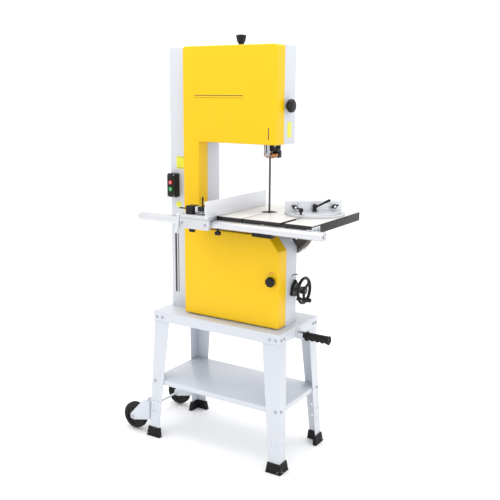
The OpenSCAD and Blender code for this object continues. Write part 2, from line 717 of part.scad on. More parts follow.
module rail_bolts_piece() color([0.45, 0.46, 0.48]) at_floor()
    for (y = [8, 38]) cyl_x(table_right + 4, table_right + 9, -table_front + y, table_z - 17, 6);

module rail_knobs_piece() color([0.07, 0.07, 0.08]) at_floor() for (x = [-217, -95]) {
    cyl_z(x, rail_y1 - 17, rail_z0 - 10, rail_z0, 5);
    cyl_z(x, rail_y1 - 17, rail_z0 - 26, rail_z0 - 10, 13);
}

module rail_support_piece() color([0.08, 0.08, 0.09]) at_floor()
    box(65, 150, rail_y0 + 6, rail_y1, rail_z0 - 12, rail_z0);

// ---------- rip fence ----------
fx = -fence_x - plate_t;
module fence_head_piece() color([0.76, 0.77, 0.79]) at_floor() {
    box(fx - 137, fx, rail_y0 - 20, rail_y1 + 4, rail_z1 + 1, rail_z1 + 19);
    box(fx - 137, fx, rail_y0 - 20, rail_y0 - 2, rail_z0 - 6, rail_z1 + 1);
    cyl_x(fx - 152, fx - 137, rail_y0 - 10, rail_z1 + 8, 4);
}

module fence_clamp_piece() color([0.07, 0.07, 0.08]) at_floor() {
    box(fx - 118, fx - 72, rail_y0 - 3, rail_y1 + 3, rail_z1 + 19, rail_z1 + 61);
    box(fx - 72, fx, rail_y0 - 8, rail_y0 + 26, rail_z1 + 19, rail_z1 + 51);
    cyl_z(fx - 46, rail_y0 + 10, rail_z1 + 51, rail_z1 + 87, 3.5);
}

module fence_plate() color([0.82, 0.83, 0.85]) at_floor() difference() {
    box(fx, fx + plate_t, fence_nose, 150, fence_low, fence_low + fence_h);
    for (z = [0.25, 0.75])
        box(fx - 1, fx + 3, fence_nose - 1, rail_y0 - 20, fence_low + z * fence_h - 4,
            fence_low + z * fence_h + 4);
    box(fx - 1, fx + 3, rail_y1 + 8, 151, fence_low + fence_h * 0.5 - 5, fence_low + fence_h * 0.5 + 5);
}

module fence_lever() color([0.88, 0.89, 0.90]) at_floor()
    translate([fx - 151, rail_y0 - 10, rail_z1 + 8]) rotate([-17, 0, 0]) difference() {
        union() {
            cyl_x(0, 13, 0, 0, 11);
            box(0, 13, -8, 8, -68, 0);
        }
        cyl_x(-1, 14, 0, 0, 4 + run);
    }

// ---------- mitre gauge ----------
module mitre_bar() color([0.60, 0.61, 0.63]) at_floor() {
    box(slot_x - slot_w / 2 + 0.2, slot_x + slot_w / 2 - 0.2, mitre_bar_y[0], mitre_bar_y[1],
        table_z - slot_d + 0.5, table_z);
    cyl_z(slot_x, mitre_y, table_z, table_z + 34, 5);
}

module at_mitre() at_floor() translate([slot_x, mitre_y, 0]) rotate([0, 0, mitre_angle]) children();

module mitre_body() color([0.80, 0.81, 0.83]) at_mitre() difference() {
    intersection() {
        cyl_z(0, 0, table_z + 0.5, table_z + 10, mitre_r);
        box(-mitre_r - 1, mitre_r + 1, -mitre_r - 1, 14, table_z, table_z + 11);
    }
    difference() {
        cyl_z(0, 0, table_z, table_z + 11, mitre_r - 12);
        cyl_z(0, 0, table_z - 1, table_z + 12, mitre_r - 22);
        box(-mitre_r, mitre_r, -34, 30, table_z - 1, table_z + 12);
    }
    cyl_z(0, 0, table_z, table_z + 11, 5 + run);
}

module mitre_fence_piece() color([0.84, 0.85, 0.87]) at_mitre() difference() {
    box(-mitre_r + 3, mitre_r - 3, 14, 24, table_z + 1, table_z + 51);
    box(-mitre_r + 2, mitre_r - 2, 20, 25, table_z + 36, table_z + 42);
}

module mitre_knobs_piece() color([0.07, 0.07, 0.08]) at_mitre() for (x = [-78, 82]) {
    cyl_y(x, 8, 14, table_z + 28, 5);
    cyl_y(x, -4, 8, table_z + 28, 10);
}

module mitre_handle() color([0.07, 0.07, 0.08]) at_mitre() difference() {
    union() {
        cyl_z(0, 0, table_z + 11, table_z + 32, 9);
        translate([0, 0, table_z + 26]) rotate([0, 62, -40]) cylinder(r = 5.5, h = 74);
    }
    cyl_z(0, 0, table_z + 10, table_z + 34 + 6, 5 + run);
}

// ---------- switch ----------
sw_x = [-462, -418];
sw_y = yf - 35;
sw_z = [1057, 1157];
button_z = [1120, 1092];
module switch_box() color([0.10, 0.10, 0.11]) at_floor() difference() {
    box(sw_x[0], sw_x[1], sw_y, yf, sw_z[0], sw_z[1]);
    box(sw_x[0] + 2.5, sw_x[1] - 2.5, sw_y + 2.5, yf - 2.5, sw_z[0] + 2.5, sw_z[1] - 2.5);
    for (z = button_z) cyl_y(-440, sw_y - 1, sw_y + 4, z, 9.4);
}

module button(z) {
    cyl_y(-440, sw_y - 4, sw_y + 6, z, 9);
    cyl_y(-440, sw_y + 6, sw_y + 8, z, 12);
}
module stop_button() color([0.80, 0.08, 0.06]) at_floor() button(button_z[0]);
module start_button() color([0.10, 0.55, 0.20]) at_floor() button(button_z[1]);

module dust_port() color([0.10, 0.10, 0.11]) at_floor() difference() {
    union() {
        cyl_y(20, yb, yb + 3, 640, 58);
        cyl_y(20, yb, yb + 50, 640, 50);
    }
    cyl_y(20, yb - 1, yb + 51, 640, 46);
}

// ---------- stand ----------
module at_stand() at_floor() translate([stand_cx, stand_cy, 0]) children();

module stand_top() color([0.86, 0.87, 0.89]) at_stand() difference() {
    box(-top_hx, top_hx, -top_hy, top_hy, stand_z - apron_h, stand_z);
    box(-top_hx + apron_t, top_hx - apron_t, -top_hy + apron_t, top_hy - apron_t,
        stand_z - apron_h - 1, stand_z - 3);
}

// outline of one leg flange: u across, v down the slope
module flange(top_w, low_w) difference() {
    polygon([[0, 0], [-top_w, 0], [leg_splay - low_w, -leg_len], [leg_splay, -leg_len]]);
    for (u = [0.30, 0.72], v = [100, 150]) let (out = leg_splay * (1 - v / leg_len))
        translate([out - low_w * u, -leg_len + v]) circle(r = 3.5);
}

module leg() {
    // front flange leans forward, side flange leans sideways
    translate([leg_hx, -leg_hy, leg_top]) rotate([90 - lean, 0, 0])
        translate([0, 0, -leg_t]) linear_extrude(height = leg_t) flange(80, 50);
    translate([leg_hx, -leg_hy, leg_top]) rotate([0, -lean, 0]) rotate([90, 0, 90])
        translate([0, 0, -leg_t]) linear_extrude(height = leg_t) mirror([1, 0]) flange(62, 44);
}

module corners() for (mx = [0, 1], my = [0, 1]) mirror([mx, 0, 0]) mirror([0, my, 0]) children();
module leg_front_right_piece() color([0.86, 0.87, 0.89]) at_stand() leg();
module leg_front_left_piece() color([0.86, 0.87, 0.89]) at_stand() mirror([1, 0, 0]) leg();
module leg_back_right_piece() color([0.86, 0.87, 0.89]) at_stand() mirror([0, 1, 0]) leg();
module leg_back_left_piece() color([0.86, 0.87, 0.89]) at_stand() mirror([1, 0, 0]) mirror([0, 1, 0]) leg();

shelf_hx = leg_hx + leg_splay * (leg_top - shelf_z) / leg_h - leg_t - 0.6;
shelf_hy = leg_hy + leg_splay * (leg_top - shelf_z) / leg_h - leg_t - 0.6;
module shelf() color([0.86, 0.87, 0.89]) at_stand() difference() {
    box(-shelf_hx, shelf_hx, -shelf_hy, shelf_hy, shelf_z - 22, shelf_z);
    box(-shelf_hx + 2, shelf_hx - 2, -shelf_hy + 2, shelf_hy - 2, shelf_z - 23, shelf_z - 2);
}

// square rubber shoes with a flared base
module rubber_feet() color([0.05, 0.05, 0.06]) at_stand() corners()
    translate([leg_hx + leg_splay - 27, -leg_hy - leg_splay + 25, 0]) difference() {
        union() {
            box(-34, 36, -34, 32, 0, 7);
            translate([1, -1, 7]) rotate([0, 0, 45]) cylinder(r1 = 47, r2 = 42.5, h = foot_h - 7, $fn = 4);
        }
        translate([leg_splay + 2, -leg_splay, leg_low - gap]) box(-58, 4.5, -4.5, 52, 0, foot_h);
    }

module stand_bolts() color([0.62, 0.63, 0.65]) at_stand() corners() {
    for (x = [18, 46]) cyl_y(top_hx - x, -top_hy - 3, -top_hy, stand_z - 26, 5);
    for (y = [14, 36]) cyl_x(top_hx, top_hx + 3, -top_hy + y, stand_z - 26, 5);
    translate([leg_hx, -leg_hy, leg_top]) rotate([90 - lean, 0, 0])
        translate([leg_splay * 0.56 - 18, -(leg_top - shelf_z + 10), 0]) cylinder(r = 5, h = 3);
    translate([leg_hx, -leg_hy, leg_top]) rotate([0, -lean, 0]) rotate([90, 0, 90])
        translate([14 - leg_splay * 0.56, -(leg_top - shelf_z + 10), 0]) cylinder(r = 5, h = 3);
}

// ---------- transport wheels ----------
plate_gap = 22;
tr_y = [-leg_hy - 6, leg_hy + 6];
module bracket_outline() polygon([[tr_x - 12, tr_z - 12], [tr_x + 8, tr_z - 14], [leg_out_x, tr_z + 6],
                                  [leg_out_x, tr_z + 92], [leg_out_x - 30, tr_z + 92], [tr_x - 13,
                                      tr_z + 10]]);
leg_out_x = stand_cx - leg_hx - leg_splay - 1;
module wheel_brackets_piece() color([0.86, 0.87, 0.89]) at_floor()
    for (y = tr_y) translate([0, stand_cy + y, 0]) {
    for (s = [-1, 1]) panel(s * plate_gap - 1.5, s * plate_gap + 1.5) difference() {
        bracket_outline();
        translate([tr_x, tr_z]) circle(r = 5);
    }
    box(leg_out_x, leg_out_x + 3, -plate_gap - 1.5, plate_gap + 1.5, tr_z + 6, tr_z + 92);
}

module wheel_axle_piece() color([0.60, 0.61, 0.63]) at_floor() {
    y0 = stand_cy + tr_y[0] - plate_gap;
    y1 = stand_cy + tr_y[1] + plate_gap;
    cyl_y(tr_x, y0 - 5, y1 + 5, tr_z, 5);
    for (y = [y0 - 7, y1 + 2]) difference() {
        cyl_y(tr_x, y, y + 5, tr_z, 9);
        cyl_y(tr_x, y - 1, y + 6, tr_z, 5);
    }
}

module tr_wheel(y) translate([0, stand_cy + y, 0]) {
    difference() {
        union() {
            cyl_y(tr_x, -15, 15, tr_z, tr_r);
            cyl_y(tr_x, -19, 19, tr_z, 16);
        }
        for (s = [[-16, -9], [9, 16]]) difference() {
            cyl_y(tr_x, s[0], s[1], tr_z, tr_r - 16);
            cyl_y(tr_x, s[0] - 1, s[1] + 1, tr_z, 16);
        }
        cyl_y(tr_x, -20, 20, tr_z, 5 + run);
    }
}
module front_wheel() color([0.06, 0.06, 0.07]) at_floor() tr_wheel(tr_y[0]);
module rear_wheel() color([0.06, 0.06, 0.07]) at_floor() tr_wheel(tr_y[1]);

// ---------- lift handle ----------
lift_x = stand_right + 20;
lift_z = 537;
lift_y = 6;
module lift_bracket_piece() color([0.86, 0.87, 0.89]) at_floor() translate([0, lift_y, 0]) {
    box(stand_right, stand_right + 2.5, -17, 17, 526, 568);
    for (y = [[-17, -14], [14, 17]]) difference() {
        box(stand_right + 2.5, lift_x + 10, y[0], y[1], lift_z - 12, lift_z + 12);
        cyl_y(lift_x, y[0] - 1, y[1] + 1, lift_z, 4);
    }
}
module lift_pin_piece() color([0.60, 0.61, 0.63]) at_floor()
    cyl_y(lift_x, lift_y - 19, lift_y + 19, lift_z, 4);
module lift_handle() color([0.06, 0.06, 0.07]) at_floor() difference() {
    union() {
        cyl_y(lift_x, lift_y - 13, lift_y + 13, lift_z, 10);
        cyl_x(lift_x, lift_x + 20, lift_y, lift_z, 9);
        cyl_x(lift_x + 18, lift_x + 26, lift_y, lift_z, 19);
        cyl_x(lift_x + 24, lift_x + 122, lift_y, lift_z, 17);
    }
    for (i = [0:3]) cyl_y(lift_x + 38 + i * 22, lift_y - 30, lift_y + 30, lift_z - 23, 9.5);
    cyl_y(lift_x, lift_y - 14, lift_y + 14, lift_z, 4 + run);
}

// ---------- pieces that are carried together ----------
module frame_brackets() { slide_rails_piece(); tension_bridge_piece(); post_bracket_piece(); }
module wheel_carrier() { wheel_carrier_piece(); upper_axle_piece(); }
module tension_knob() { tension_screw_piece(); tension_knob_piece(); }
module upper_wheel() { upper_wheel_piece(); upper_bearings_piece(); }
module lower_wheel() { lower_wheel_piece(); lower_bearings_piece(); drive_pulley_piece(); }
module motor_pulley() { motor_pulley_piece(); motor_shaft_piece(); }
module motor() { motor_plate_piece(); motor_piece(); }
module belt_handwheel() { belt_handwheel_piece(); belt_screw_piece(); }
module guide_knob() { guide_pinion_piece(); guide_knob_piece(); }
module guide_block() { guide_block_piece(); upper_guide_pins_piece(); }
module lower_guide() {
    lower_guide_block_piece();
    lower_guide_pins_piece();
    lower_roller_left_piece();
    lower_roller_right_piece();
    lower_roller_back_piece();
}
module trunnion_base() { trunnion_base_piece(); tilt_bolt_piece(); }
module rail_fittings() {
    rail_brackets_piece();
    rail_bolts_piece();
    rail_knobs_piece();
    rail_support_piece();
}
module fence_head() { fence_head_piece(); fence_clamp_piece(); }
module mitre_fence() { mitre_fence_piece(); mitre_knobs_piece(); }
module wheel_brackets() { wheel_brackets_piece(); wheel_axle_piece(); }
module lift_bracket() { lift_bracket_piece(); lift_pin_piece(); }
module stand_legs() {
    leg_front_right_piece();
    leg_front_left_piece();
    leg_back_right_piece();
    leg_back_left_piece();
}

column();
upper_housing();
neck();
lower_housing();
hinge_pins();
upper_door();
lower_door();
door_latch();
frame_brackets();
wheel_carrier();
tension_knob();
tension_spring();
upper_wheel();
upper_tyre();
lower_axle();
lower_wheel();
lower_tyre();
drive_belt();
motor_pulley();
motor();
belt_handwheel();
crank_grip();
lock_ring();
saw_blade();
guide_post();
guide_knob();
guide_block();
upper_roller_left();
upper_roller_right();
upper_roller_back();
blade_guard();
lower_guide();
trunnion_base();
table_trunnions();
tilt_lock();
table_top();
table_insert();
guide_rail();
rail_fittings();
fence_head();
fence_plate();
fence_lever();
mitre_bar();
mitre_body();
mitre_fence();
mitre_handle();
switch_box();
stop_button();
start_button();
dust_port();
stand_top();
stand_legs();
shelf();
rubber_feet();
stand_bolts();
wheel_brackets();
front_wheel();
rear_wheel();
lift_bracket();
lift_handle();
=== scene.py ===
import json
import math

import bmesh
import bpy
from mathutils import Matrix, Vector


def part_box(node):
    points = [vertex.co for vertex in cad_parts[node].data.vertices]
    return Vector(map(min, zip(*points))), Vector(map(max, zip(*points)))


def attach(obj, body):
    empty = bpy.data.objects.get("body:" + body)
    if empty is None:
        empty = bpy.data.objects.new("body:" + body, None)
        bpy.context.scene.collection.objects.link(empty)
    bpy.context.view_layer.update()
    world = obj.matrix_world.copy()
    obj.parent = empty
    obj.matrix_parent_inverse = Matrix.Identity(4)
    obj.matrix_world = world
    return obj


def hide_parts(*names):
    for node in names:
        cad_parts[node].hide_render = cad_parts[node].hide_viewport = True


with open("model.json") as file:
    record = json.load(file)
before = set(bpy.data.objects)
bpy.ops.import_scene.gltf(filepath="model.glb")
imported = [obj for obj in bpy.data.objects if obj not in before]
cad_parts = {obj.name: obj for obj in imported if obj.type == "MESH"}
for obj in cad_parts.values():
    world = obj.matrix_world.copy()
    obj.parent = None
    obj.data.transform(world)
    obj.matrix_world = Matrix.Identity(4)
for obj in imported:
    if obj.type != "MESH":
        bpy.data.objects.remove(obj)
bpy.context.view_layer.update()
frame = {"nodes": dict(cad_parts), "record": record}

# Every measure below is in millimetres from the blade: X 0 and Y 0 at the blade line, Z 0 on the floor.
MM = 0.001
TAU = 2 * math.pi
WELD_GAP = 0.004
insert_lo, insert_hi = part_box("table_insert")
ORIGIN = Vector(((insert_lo.x + insert_hi.x) / 2, (insert_lo.y + insert_hi.y) / 2, 0.0))
TO_FRAME = Matrix.Translation(ORIGIN) @ Matrix.Scale(MM, 4)
TO_MM = TO_FRAME.inverted()
NODE_SLOT = {s["node"]: s["material_slot"] for s in frame["record"]["subparts"]}
BODY = {n: b for b, ns in frame["record"]["behaviour"]["bodies"].items() for n in ns}


class Span:
    """The box of a CAD node in millimetres from the blade."""

    def __init__(self, node):
        lo, hi = (TO_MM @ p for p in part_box(node))
        self.x0, self.y0, self.z0 = lo
        self.x1, self.y1, self.z1 = hi
        self.cx, self.cy, self.cz = (lo + hi) / 2


# ---------- camera ----------
CAM_PLACE = Vector((1512.2, -2544.2, 1492.1))
CAM_YAW, CAM_PITCH, CAM_ROLL = (math.radians(a) for a in (-32.19, -11.89, 0.40))
CAM_LENS = 53.93
forward = Vector((math.sin(CAM_YAW) * math.cos(CAM_PITCH), math.cos(CAM_YAW) * math.cos(CAM_PITCH),
                  math.sin(CAM_PITCH)))
level = Vector((math.cos(CAM_YAW), -math.sin(CAM_YAW), 0.0))
upright = level.cross(forward)
right = level * math.cos(CAM_ROLL) + upright * math.sin(CAM_ROLL)
up = upright * math.cos(CAM_ROLL) - level * math.sin(CAM_ROLL)
camera = bpy.data.objects.new("camera", bpy.data.cameras.new("camera"))
camera.data.lens, camera.data.sensor_width = CAM_LENS, 36.0
camera.data.clip_end = 60.0
bpy.context.scene.collection.objects.link(camera)
turn = Matrix((right, up, -forward)).transposed().to_4x4()
camera.matrix_world = Matrix.Translation(TO_FRAME @ CAM_PLACE) @ turn
bpy.context.scene.camera = camera
bpy.context.scene.view_settings.view_transform = "Standard"


# ---------- materials ----------
def rgb(r, g, b):
    """Display values from 0 to 255 as linear light."""
    return tuple(c / 3294.6 if c <= 10.31 else ((c / 255 + 0.055) / 1.055) ** 2.4 for c in (r, g, b))


def noise(tree, source, scale, detail, rough=0.5):
    n = tree.nodes.new("ShaderNodeTexNoise")
    n.inputs["Scale"].default_value = scale
    n.inputs["Detail"].default_value = detail
    n.inputs["Roughness"].default_value = rough
    tree.links.new(source, n.inputs["Vector"])
    return n.outputs["Fac"]


def ranged(tree, source, low, high, start=0.3, stop=0.7):
    n = tree.nodes.new("ShaderNodeMapRange")
    n.inputs["From Min"].default_value, n.inputs["From Max"].default_value = start, stop
    n.inputs["To Min"].default_value, n.inputs["To Max"].default_value = low, high
    tree.links.new(source, n.inputs["Value"])
    return n.outputs["Result"]


def blended(tree, fac, a, b):
    n = tree.nodes.new("ShaderNodeMix")
    n.data_type = "RGBA"
    tree.links.new(fac, n.inputs["Factor"])
    for value, socket in ((a, n.inputs[6]), (b, n.inputs[7])):
        if isinstance(value, tuple):
            socket.default_value = (*value, 1.0)
        else:
            tree.links.new(value, socket)
    return n.outputs[2]


def material(name, colour, rough, metal=0.0, coat=0.0, vary=0.06, patch=7.0, grain=450.0, stretch=(1, 1, 1),
             bump=0.2, depth=0.15, dust=None, specular=0.5):
    """A finish in object coordinates: broad colour drift, fine grain in colour, gloss and relief, and
    where given, patches of dust or wear."""
    m = bpy.data.materials.new(name)
    m.use_nodes = True
    t = m.node_tree
    shader = t.nodes["Principled BSDF"]
    shader.inputs["Metallic"].default_value = metal
    shader.inputs["Coat Weight"].default_value = coat
    shader.inputs["Coat Roughness"].default_value = 0.12
    shader.inputs["Specular IOR Level"].default_value = specular
    place = t.nodes.new("ShaderNodeTexCoord").outputs["Object"]
    fit = t.nodes.new("ShaderNodeMapping")
    fit.inputs["Scale"].default_value = stretch
    t.links.new(place, fit.inputs["Vector"])
    fine = noise(t, fit.outputs["Vector"], grain, 4, 0.6)
    broad = noise(t, place, patch, 3)
    dark = tuple(c * (1 - vary) for c in colour)
    light = tuple(min(1.0, c * (1 + vary * 0.6)) for c in colour)
    tint = blended(t, ranged(t, broad, 0, 1), dark, light)
    tint = blended(t, ranged(t, fine, 0, 0.5), tint, tuple(c * (1 - vary * 1.4) for c in colour))
    if dust:
        tint = blended(t, ranged(t, noise(t, place, 60.0, 5, 0.7), 0, 0.5, 0.55, 0.75), tint, dust)
    t.links.new(tint, shader.inputs["Base Color"])
    t.links.new(ranged(t, noise(t, fit.outputs["Vector"], grain * 0.3, 4), *rough),
                shader.inputs["Roughness"])
    relief = t.nodes.new("ShaderNodeBump")
    relief.inputs["Strength"].default_value = bump
    relief.inputs["Distance"].default_value = depth * MM
    t.links.new(fine, relief.inputs["Height"])
    t.links.new(relief.outputs["Normal"], shader.inputs["Normal"])
    return m


ALONG_X, ALONG_Y, ALONG_Z = (0.03, 1, 1), (1, 0.03, 1), (1, 1, 0.03)
# Each finish: its colour, the range of its roughness, and what else sets it apart.
FINISHES = {
    "frame_paint": ((202, 206, 214), (0.30, 0.42), dict(coat=0.25, vary=0.025, grain=520, bump=0.22,
        depth=0.12)),
    "door_paint": ((236, 191, 2), (0.30, 0.42), dict(coat=0.08, vary=0.03, grain=480, bump=0.2,
        depth=0.12, specular=0.28)),
    "black_plastic": ((13, 13, 15), (0.34, 0.52), dict(vary=0.15, grain=1400, bump=0.3, depth=0.08,
        specular=0.32)),
    "machined_steel": ((178, 180, 186), (0.22, 0.38), dict(metal=1.0, vary=0.08, grain=900,
        stretch=ALONG_Z, bump=0.25, depth=0.05)),
    "cast_wheel": ((176, 178, 184), (0.35, 0.55), dict(metal=1.0, vary=0.1, grain=600, bump=0.4,
        depth=0.15, dust=rgb(150, 140, 122))),
    "tyre_rubber": ((36, 36, 38), (0.65, 0.85), dict(vary=0.15, grain=900, bump=0.4, depth=0.12,
        dust=rgb(92, 84, 72))),
    "spring_steel": ((96, 98, 104), (0.3, 0.45), dict(metal=1.0, vary=0.12, grain=700, bump=0.2,
        depth=0.06)),
    "blade_steel": ((74, 76, 82), (0.34, 0.5), dict(metal=0.85, vary=0.12, grain=800, stretch=ALONG_Z,
        bump=0.25, depth=0.04)),
    "table_iron": ((214, 212, 208), (0.30, 0.46), dict(metal=0.2, vary=0.05, grain=700, stretch=ALONG_Y,
        bump=0.3, depth=0.05, patch=11, dust=rgb(190, 184, 174))),
    # Dark table paint: the real painted sides and underside, and painted shade inside the machined slots.
    "table_paint_and_slot_shade": ((26, 26, 31), (0.45, 0.62), dict(vary=0.14, grain=330, bump=0.5, depth=0.3)),
    "grey_iron": ((118, 114, 110), (0.45, 0.65), dict(metal=0.2, vary=0.12, grain=300, bump=0.55,
        depth=0.35)),
    "rail_aluminium": ((212, 214, 219), (0.26, 0.4), dict(metal=0.75, vary=0.035, grain=900,
        stretch=ALONG_X, bump=0.2, depth=0.04)),
    "cast_aluminium": ((206, 208, 212), (0.36, 0.52), dict(metal=0.6, vary=0.05, grain=420, bump=0.35,
        depth=0.14)),
    "fence_aluminium": ((218, 220, 226), (0.28, 0.42), dict(metal=0.3, vary=0.035, grain=900,
        stretch=ALONG_Y, bump=0.2, depth=0.04)),
    "motor_paint": ((52, 56, 64), (0.38, 0.55), dict(coat=0.1, vary=0.12, grain=350, bump=0.45,
        depth=0.25)),
    "bronze": ((196, 140, 96), (0.28, 0.42), dict(metal=1.0, vary=0.12, grain=700, bump=0.25, depth=0.05)),
    "insert_plastic": ((44, 44, 47), (0.45, 0.6), dict(vary=0.12, grain=900, bump=0.3, depth=0.08)),
    "red_plastic": ((206, 30, 34), (0.22, 0.32), dict(coat=0.3, vary=0.06, grain=900, bump=0.1,
        depth=0.05)),
    "green_plastic": ((38, 150, 84), (0.24, 0.34), dict(coat=0.3, vary=0.06, grain=900, bump=0.1,
        depth=0.05)),
    "foot_rubber": ((15, 15, 17), (0.5, 0.7), dict(specular=0.3, vary=0.15, grain=800, bump=0.35,
        depth=0.1)),
    "zinc": ((176, 180, 190), (0.25, 0.42), dict(metal=1.0, vary=0.12, patch=60, grain=500, bump=0.2,
        depth=0.06)),
    # Near-black finish used as painted shade for hollow insides.
    "painted_shade_inside": ((14, 14, 15), (0.7, 0.85), dict(vary=0.1, bump=0.1)),
    "label_yellow": ((226, 224, 40), (0.3, 0.4), dict(coat=0.4, vary=0.03, grain=900, bump=0.08,
        depth=0.05)),
    "label_dark": ((52, 44, 44), (0.35, 0.5), dict(coat=0.2, vary=0.08, grain=900, bump=0.08, depth=0.05)),
    "label_red": ((214, 72, 60), (0.3, 0.45), dict(coat=0.2, vary=0.06, grain=900, bump=0.08, depth=0.05)),
    "scale_white": ((232, 232, 230), (0.35, 0.5), dict(vary=0.03, grain=900, bump=0.08, depth=0.05)),
}
M = {name: material(name, rgb(*colour), rough, **rest) for name, (colour, rough, rest) in FINISHES.items()}

# ---------- mesh helpers ----------
def at(x, y, z):
    return Matrix.Translation((x, y, z))


def turned(degrees, axis):
    return Matrix.Rotation(math.radians(degrees), 4, axis)


ROT_TO_Y, ROT_TO_FRONT = turned(-90, "X"), turned(90, "X")
ROT_TO_X, ROT_TO_LEFT = turned(90, "Y"), turned(-90, "Y")
# An outline laid in Y-Z with its thickness along X, and one laid in X-Z with its thickness along Y.
FACING_X = Matrix(((0, 0, 1, 0), (1, 0, 0, 0), (0, 1, 0, 0), (0, 0, 0, 1)))
FACING_Y = Matrix(((1, 0, 0, 0), (0, 0, 1, 0), (0, 1, 0, 0), (0, 0, 0, 1)))


def disc(r, low, high, crown=None):
    """The profile of a plain cylinder. A crown is another height for the middle of its top."""
    return [(0, low), (r, low), (r, high), (0, high if crown is None else crown)]


def hoop(inner, outer, low, high):
    """The closed profile of a plain ring."""
    return [(inner, low), (outer, low), (outer, high), (inner, high), (inner, low)]


class Solid:
    """Collects the shapes of one piece. Each shape has a material number."""

    def __init__(self):
        self.bm = bmesh.new()

    def take(self, part, mat=0, place=None):
        if place is not None:
            bmesh.ops.transform(part, matrix=place, verts=part.verts)
        for f in part.faces:
            f.material_index = mat
        mesh = bpy.data.meshes.new("part")
        part.to_mesh(mesh)
        part.free()
        self.bm.from_mesh(mesh)
        bpy.data.meshes.remove(mesh)
        return self

    def box(self, x0, x1, y0, y1, z0, z1, r=0.0, mat=0, seg=3, place=None):
        part = bmesh.new()
        bmesh.ops.create_cube(part, size=1.0)
        size = Matrix.Diagonal((x1 - x0, y1 - y0, z1 - z0, 1.0))
        middle = at((x0 + x1) / 2, (y0 + y1) / 2, (z0 + z1) / 2)
        bmesh.ops.transform(part, matrix=middle @ size, verts=part.verts)
        if r:
            bmesh.ops.bevel(part, geom=part.edges[:], offset=r, segments=seg, profile=0.5, affect="EDGES",
                            clamp_overlap=True)
        return self.take(part, mat, place)

    def lathe(self, profile, place=None, mat=0, steps=48, shape=None, soft=0.0):
        """A solid turned round Z from (radius, height) points. shape may give each point a new radius."""
        if soft:
            profile = fillet(profile, soft)
        part = bmesh.new()
        rings = []
        for r, z in profile:
            if r < 1e-6:
                rings.append([part.verts.new((0, 0, z))])
                continue
            ring = []
            for k in range(steps):
                a = TAU * k / steps
                q = shape(a, r, z) if shape else r
                ring.append(part.verts.new((q * math.cos(a), q * math.sin(a), z)))
            rings.append(ring)
        for low, high in zip(rings, rings[1:]):
            for k in range(steps):
                n = (k + 1) % steps
                corners = [low[k % len(low)], low[n % len(low)], high[n % len(high)], high[k % len(high)]]
                corners = list(dict.fromkeys(corners))
                if len(corners) > 2:
                    part.faces.new(corners)
        for ring in (rings[0], rings[-1]):
            if len(ring) > 1 and profile[0] != profile[-1]:
                part.faces.new(ring)
        if profile[0] == profile[-1]:
            bmesh.ops.remove_doubles(part, verts=part.verts, dist=1e-4)
        bmesh.ops.recalc_face_normals(part, faces=part.faces)
        return self.take(part, mat, place)

    def prism(self, outline, h0, h1, r=0.0, mat=0, seg=2, place=None):
        """An outline in X-Y extruded from h0 to h1 along Z, with its end edges rounded by r."""
        part = bmesh.new()
        base = part.faces.new([part.verts.new((x, y, h0)) for x, y in outline])
        wall = bmesh.ops.extrude_face_region(part, geom=[base])
        moved = [v for v in wall["geom"] if isinstance(v, bmesh.types.BMVert)]
        bmesh.ops.translate(part, vec=(0, 0, h1 - h0), verts=moved)
        bmesh.ops.recalc_face_normals(part, faces=part.faces)
        if r:
            ends = [e for e in part.edges if abs(e.verts[0].co.z - e.verts[1].co.z) < 1e-6]
            bmesh.ops.bevel(part, geom=ends, offset=r, segments=seg, profile=0.5, affect="EDGES",
                            clamp_overlap=True)
        return self.take(part, mat, place)

    def tube(self, path, r, mat=0, sides=10, closed=False):
        part = bmesh.new()
        rings, n = [], len(path)
        normal = None
        for i, p in enumerate(path):
            before = path[(i - 1) % n if closed else max(i - 1, 0)]
            after = path[(i + 1) % n if closed else min(i + 1, n - 1)]
            way = (Vector(after) - Vector(before)).normalized()
            if normal is None:
                normal = way.orthogonal().normalized()
            normal = (normal - way * normal.dot(way)).normalized()
            side = way.cross(normal)
            rings.append([part.verts.new(Vector(p) + (normal * math.cos(TAU * k / sides)
                                                      + side * math.sin(TAU * k / sides)) * r)
                          for k in range(sides)])
        for i in range(n if closed else n - 1):
            low, high = rings[i], rings[(i + 1) % n]
            for k in range(sides):
                part.faces.new((low[k], low[(k + 1) % sides], high[(k + 1) % sides], high[k]))
        if not closed:
            part.faces.new(rings[0])
            part.faces.new(rings[-1])
        bmesh.ops.recalc_face_normals(part, faces=part.faces)
        return self.take(part, mat)


def fillet(points, r, n=4):
    """Rounds the inner corners of an open line of (x, y) points."""
    done = [points[0]]
    for a, b, c in zip(points, points[1:], points[2:]):
        p, q, s = Vector(a), Vector(b), Vector(c)
        u, w = p - q, s - q
        if u.length < 1e-6 or w.length < 1e-6:
            continue
        cut = min(r, u.length * 0.45, w.length * 0.45)
        start, stop = q + u.normalized() * cut, q + w.normalized() * cut
        for k in range(n + 1):
            t = k / n
            done.append(tuple(start * (1 - t) ** 2 + q * 2 * t * (1 - t) + stop * t ** 2))
    done.append(points[-1])
    return done


def rounded_loop(points, radii, n=6):
    """A closed outline whose corners are rounded by the radius given for each."""
    done, count = [], len(points)
    for i, r in enumerate(radii):
        q = Vector(points[i])
        u, w = Vector(points[i - 1]) - q, Vector(points[(i + 1) % count]) - q
        if r <= 0:
            done.append(tuple(q))
            continue
        start, stop = q + u.normalized() * r, q + w.normalized() * r
        for k in range(n + 1):
            t = k / n
            done.append(tuple(start * (1 - t) ** 2 + q * 2 * t * (1 - t) + stop * t ** 2))
    return done


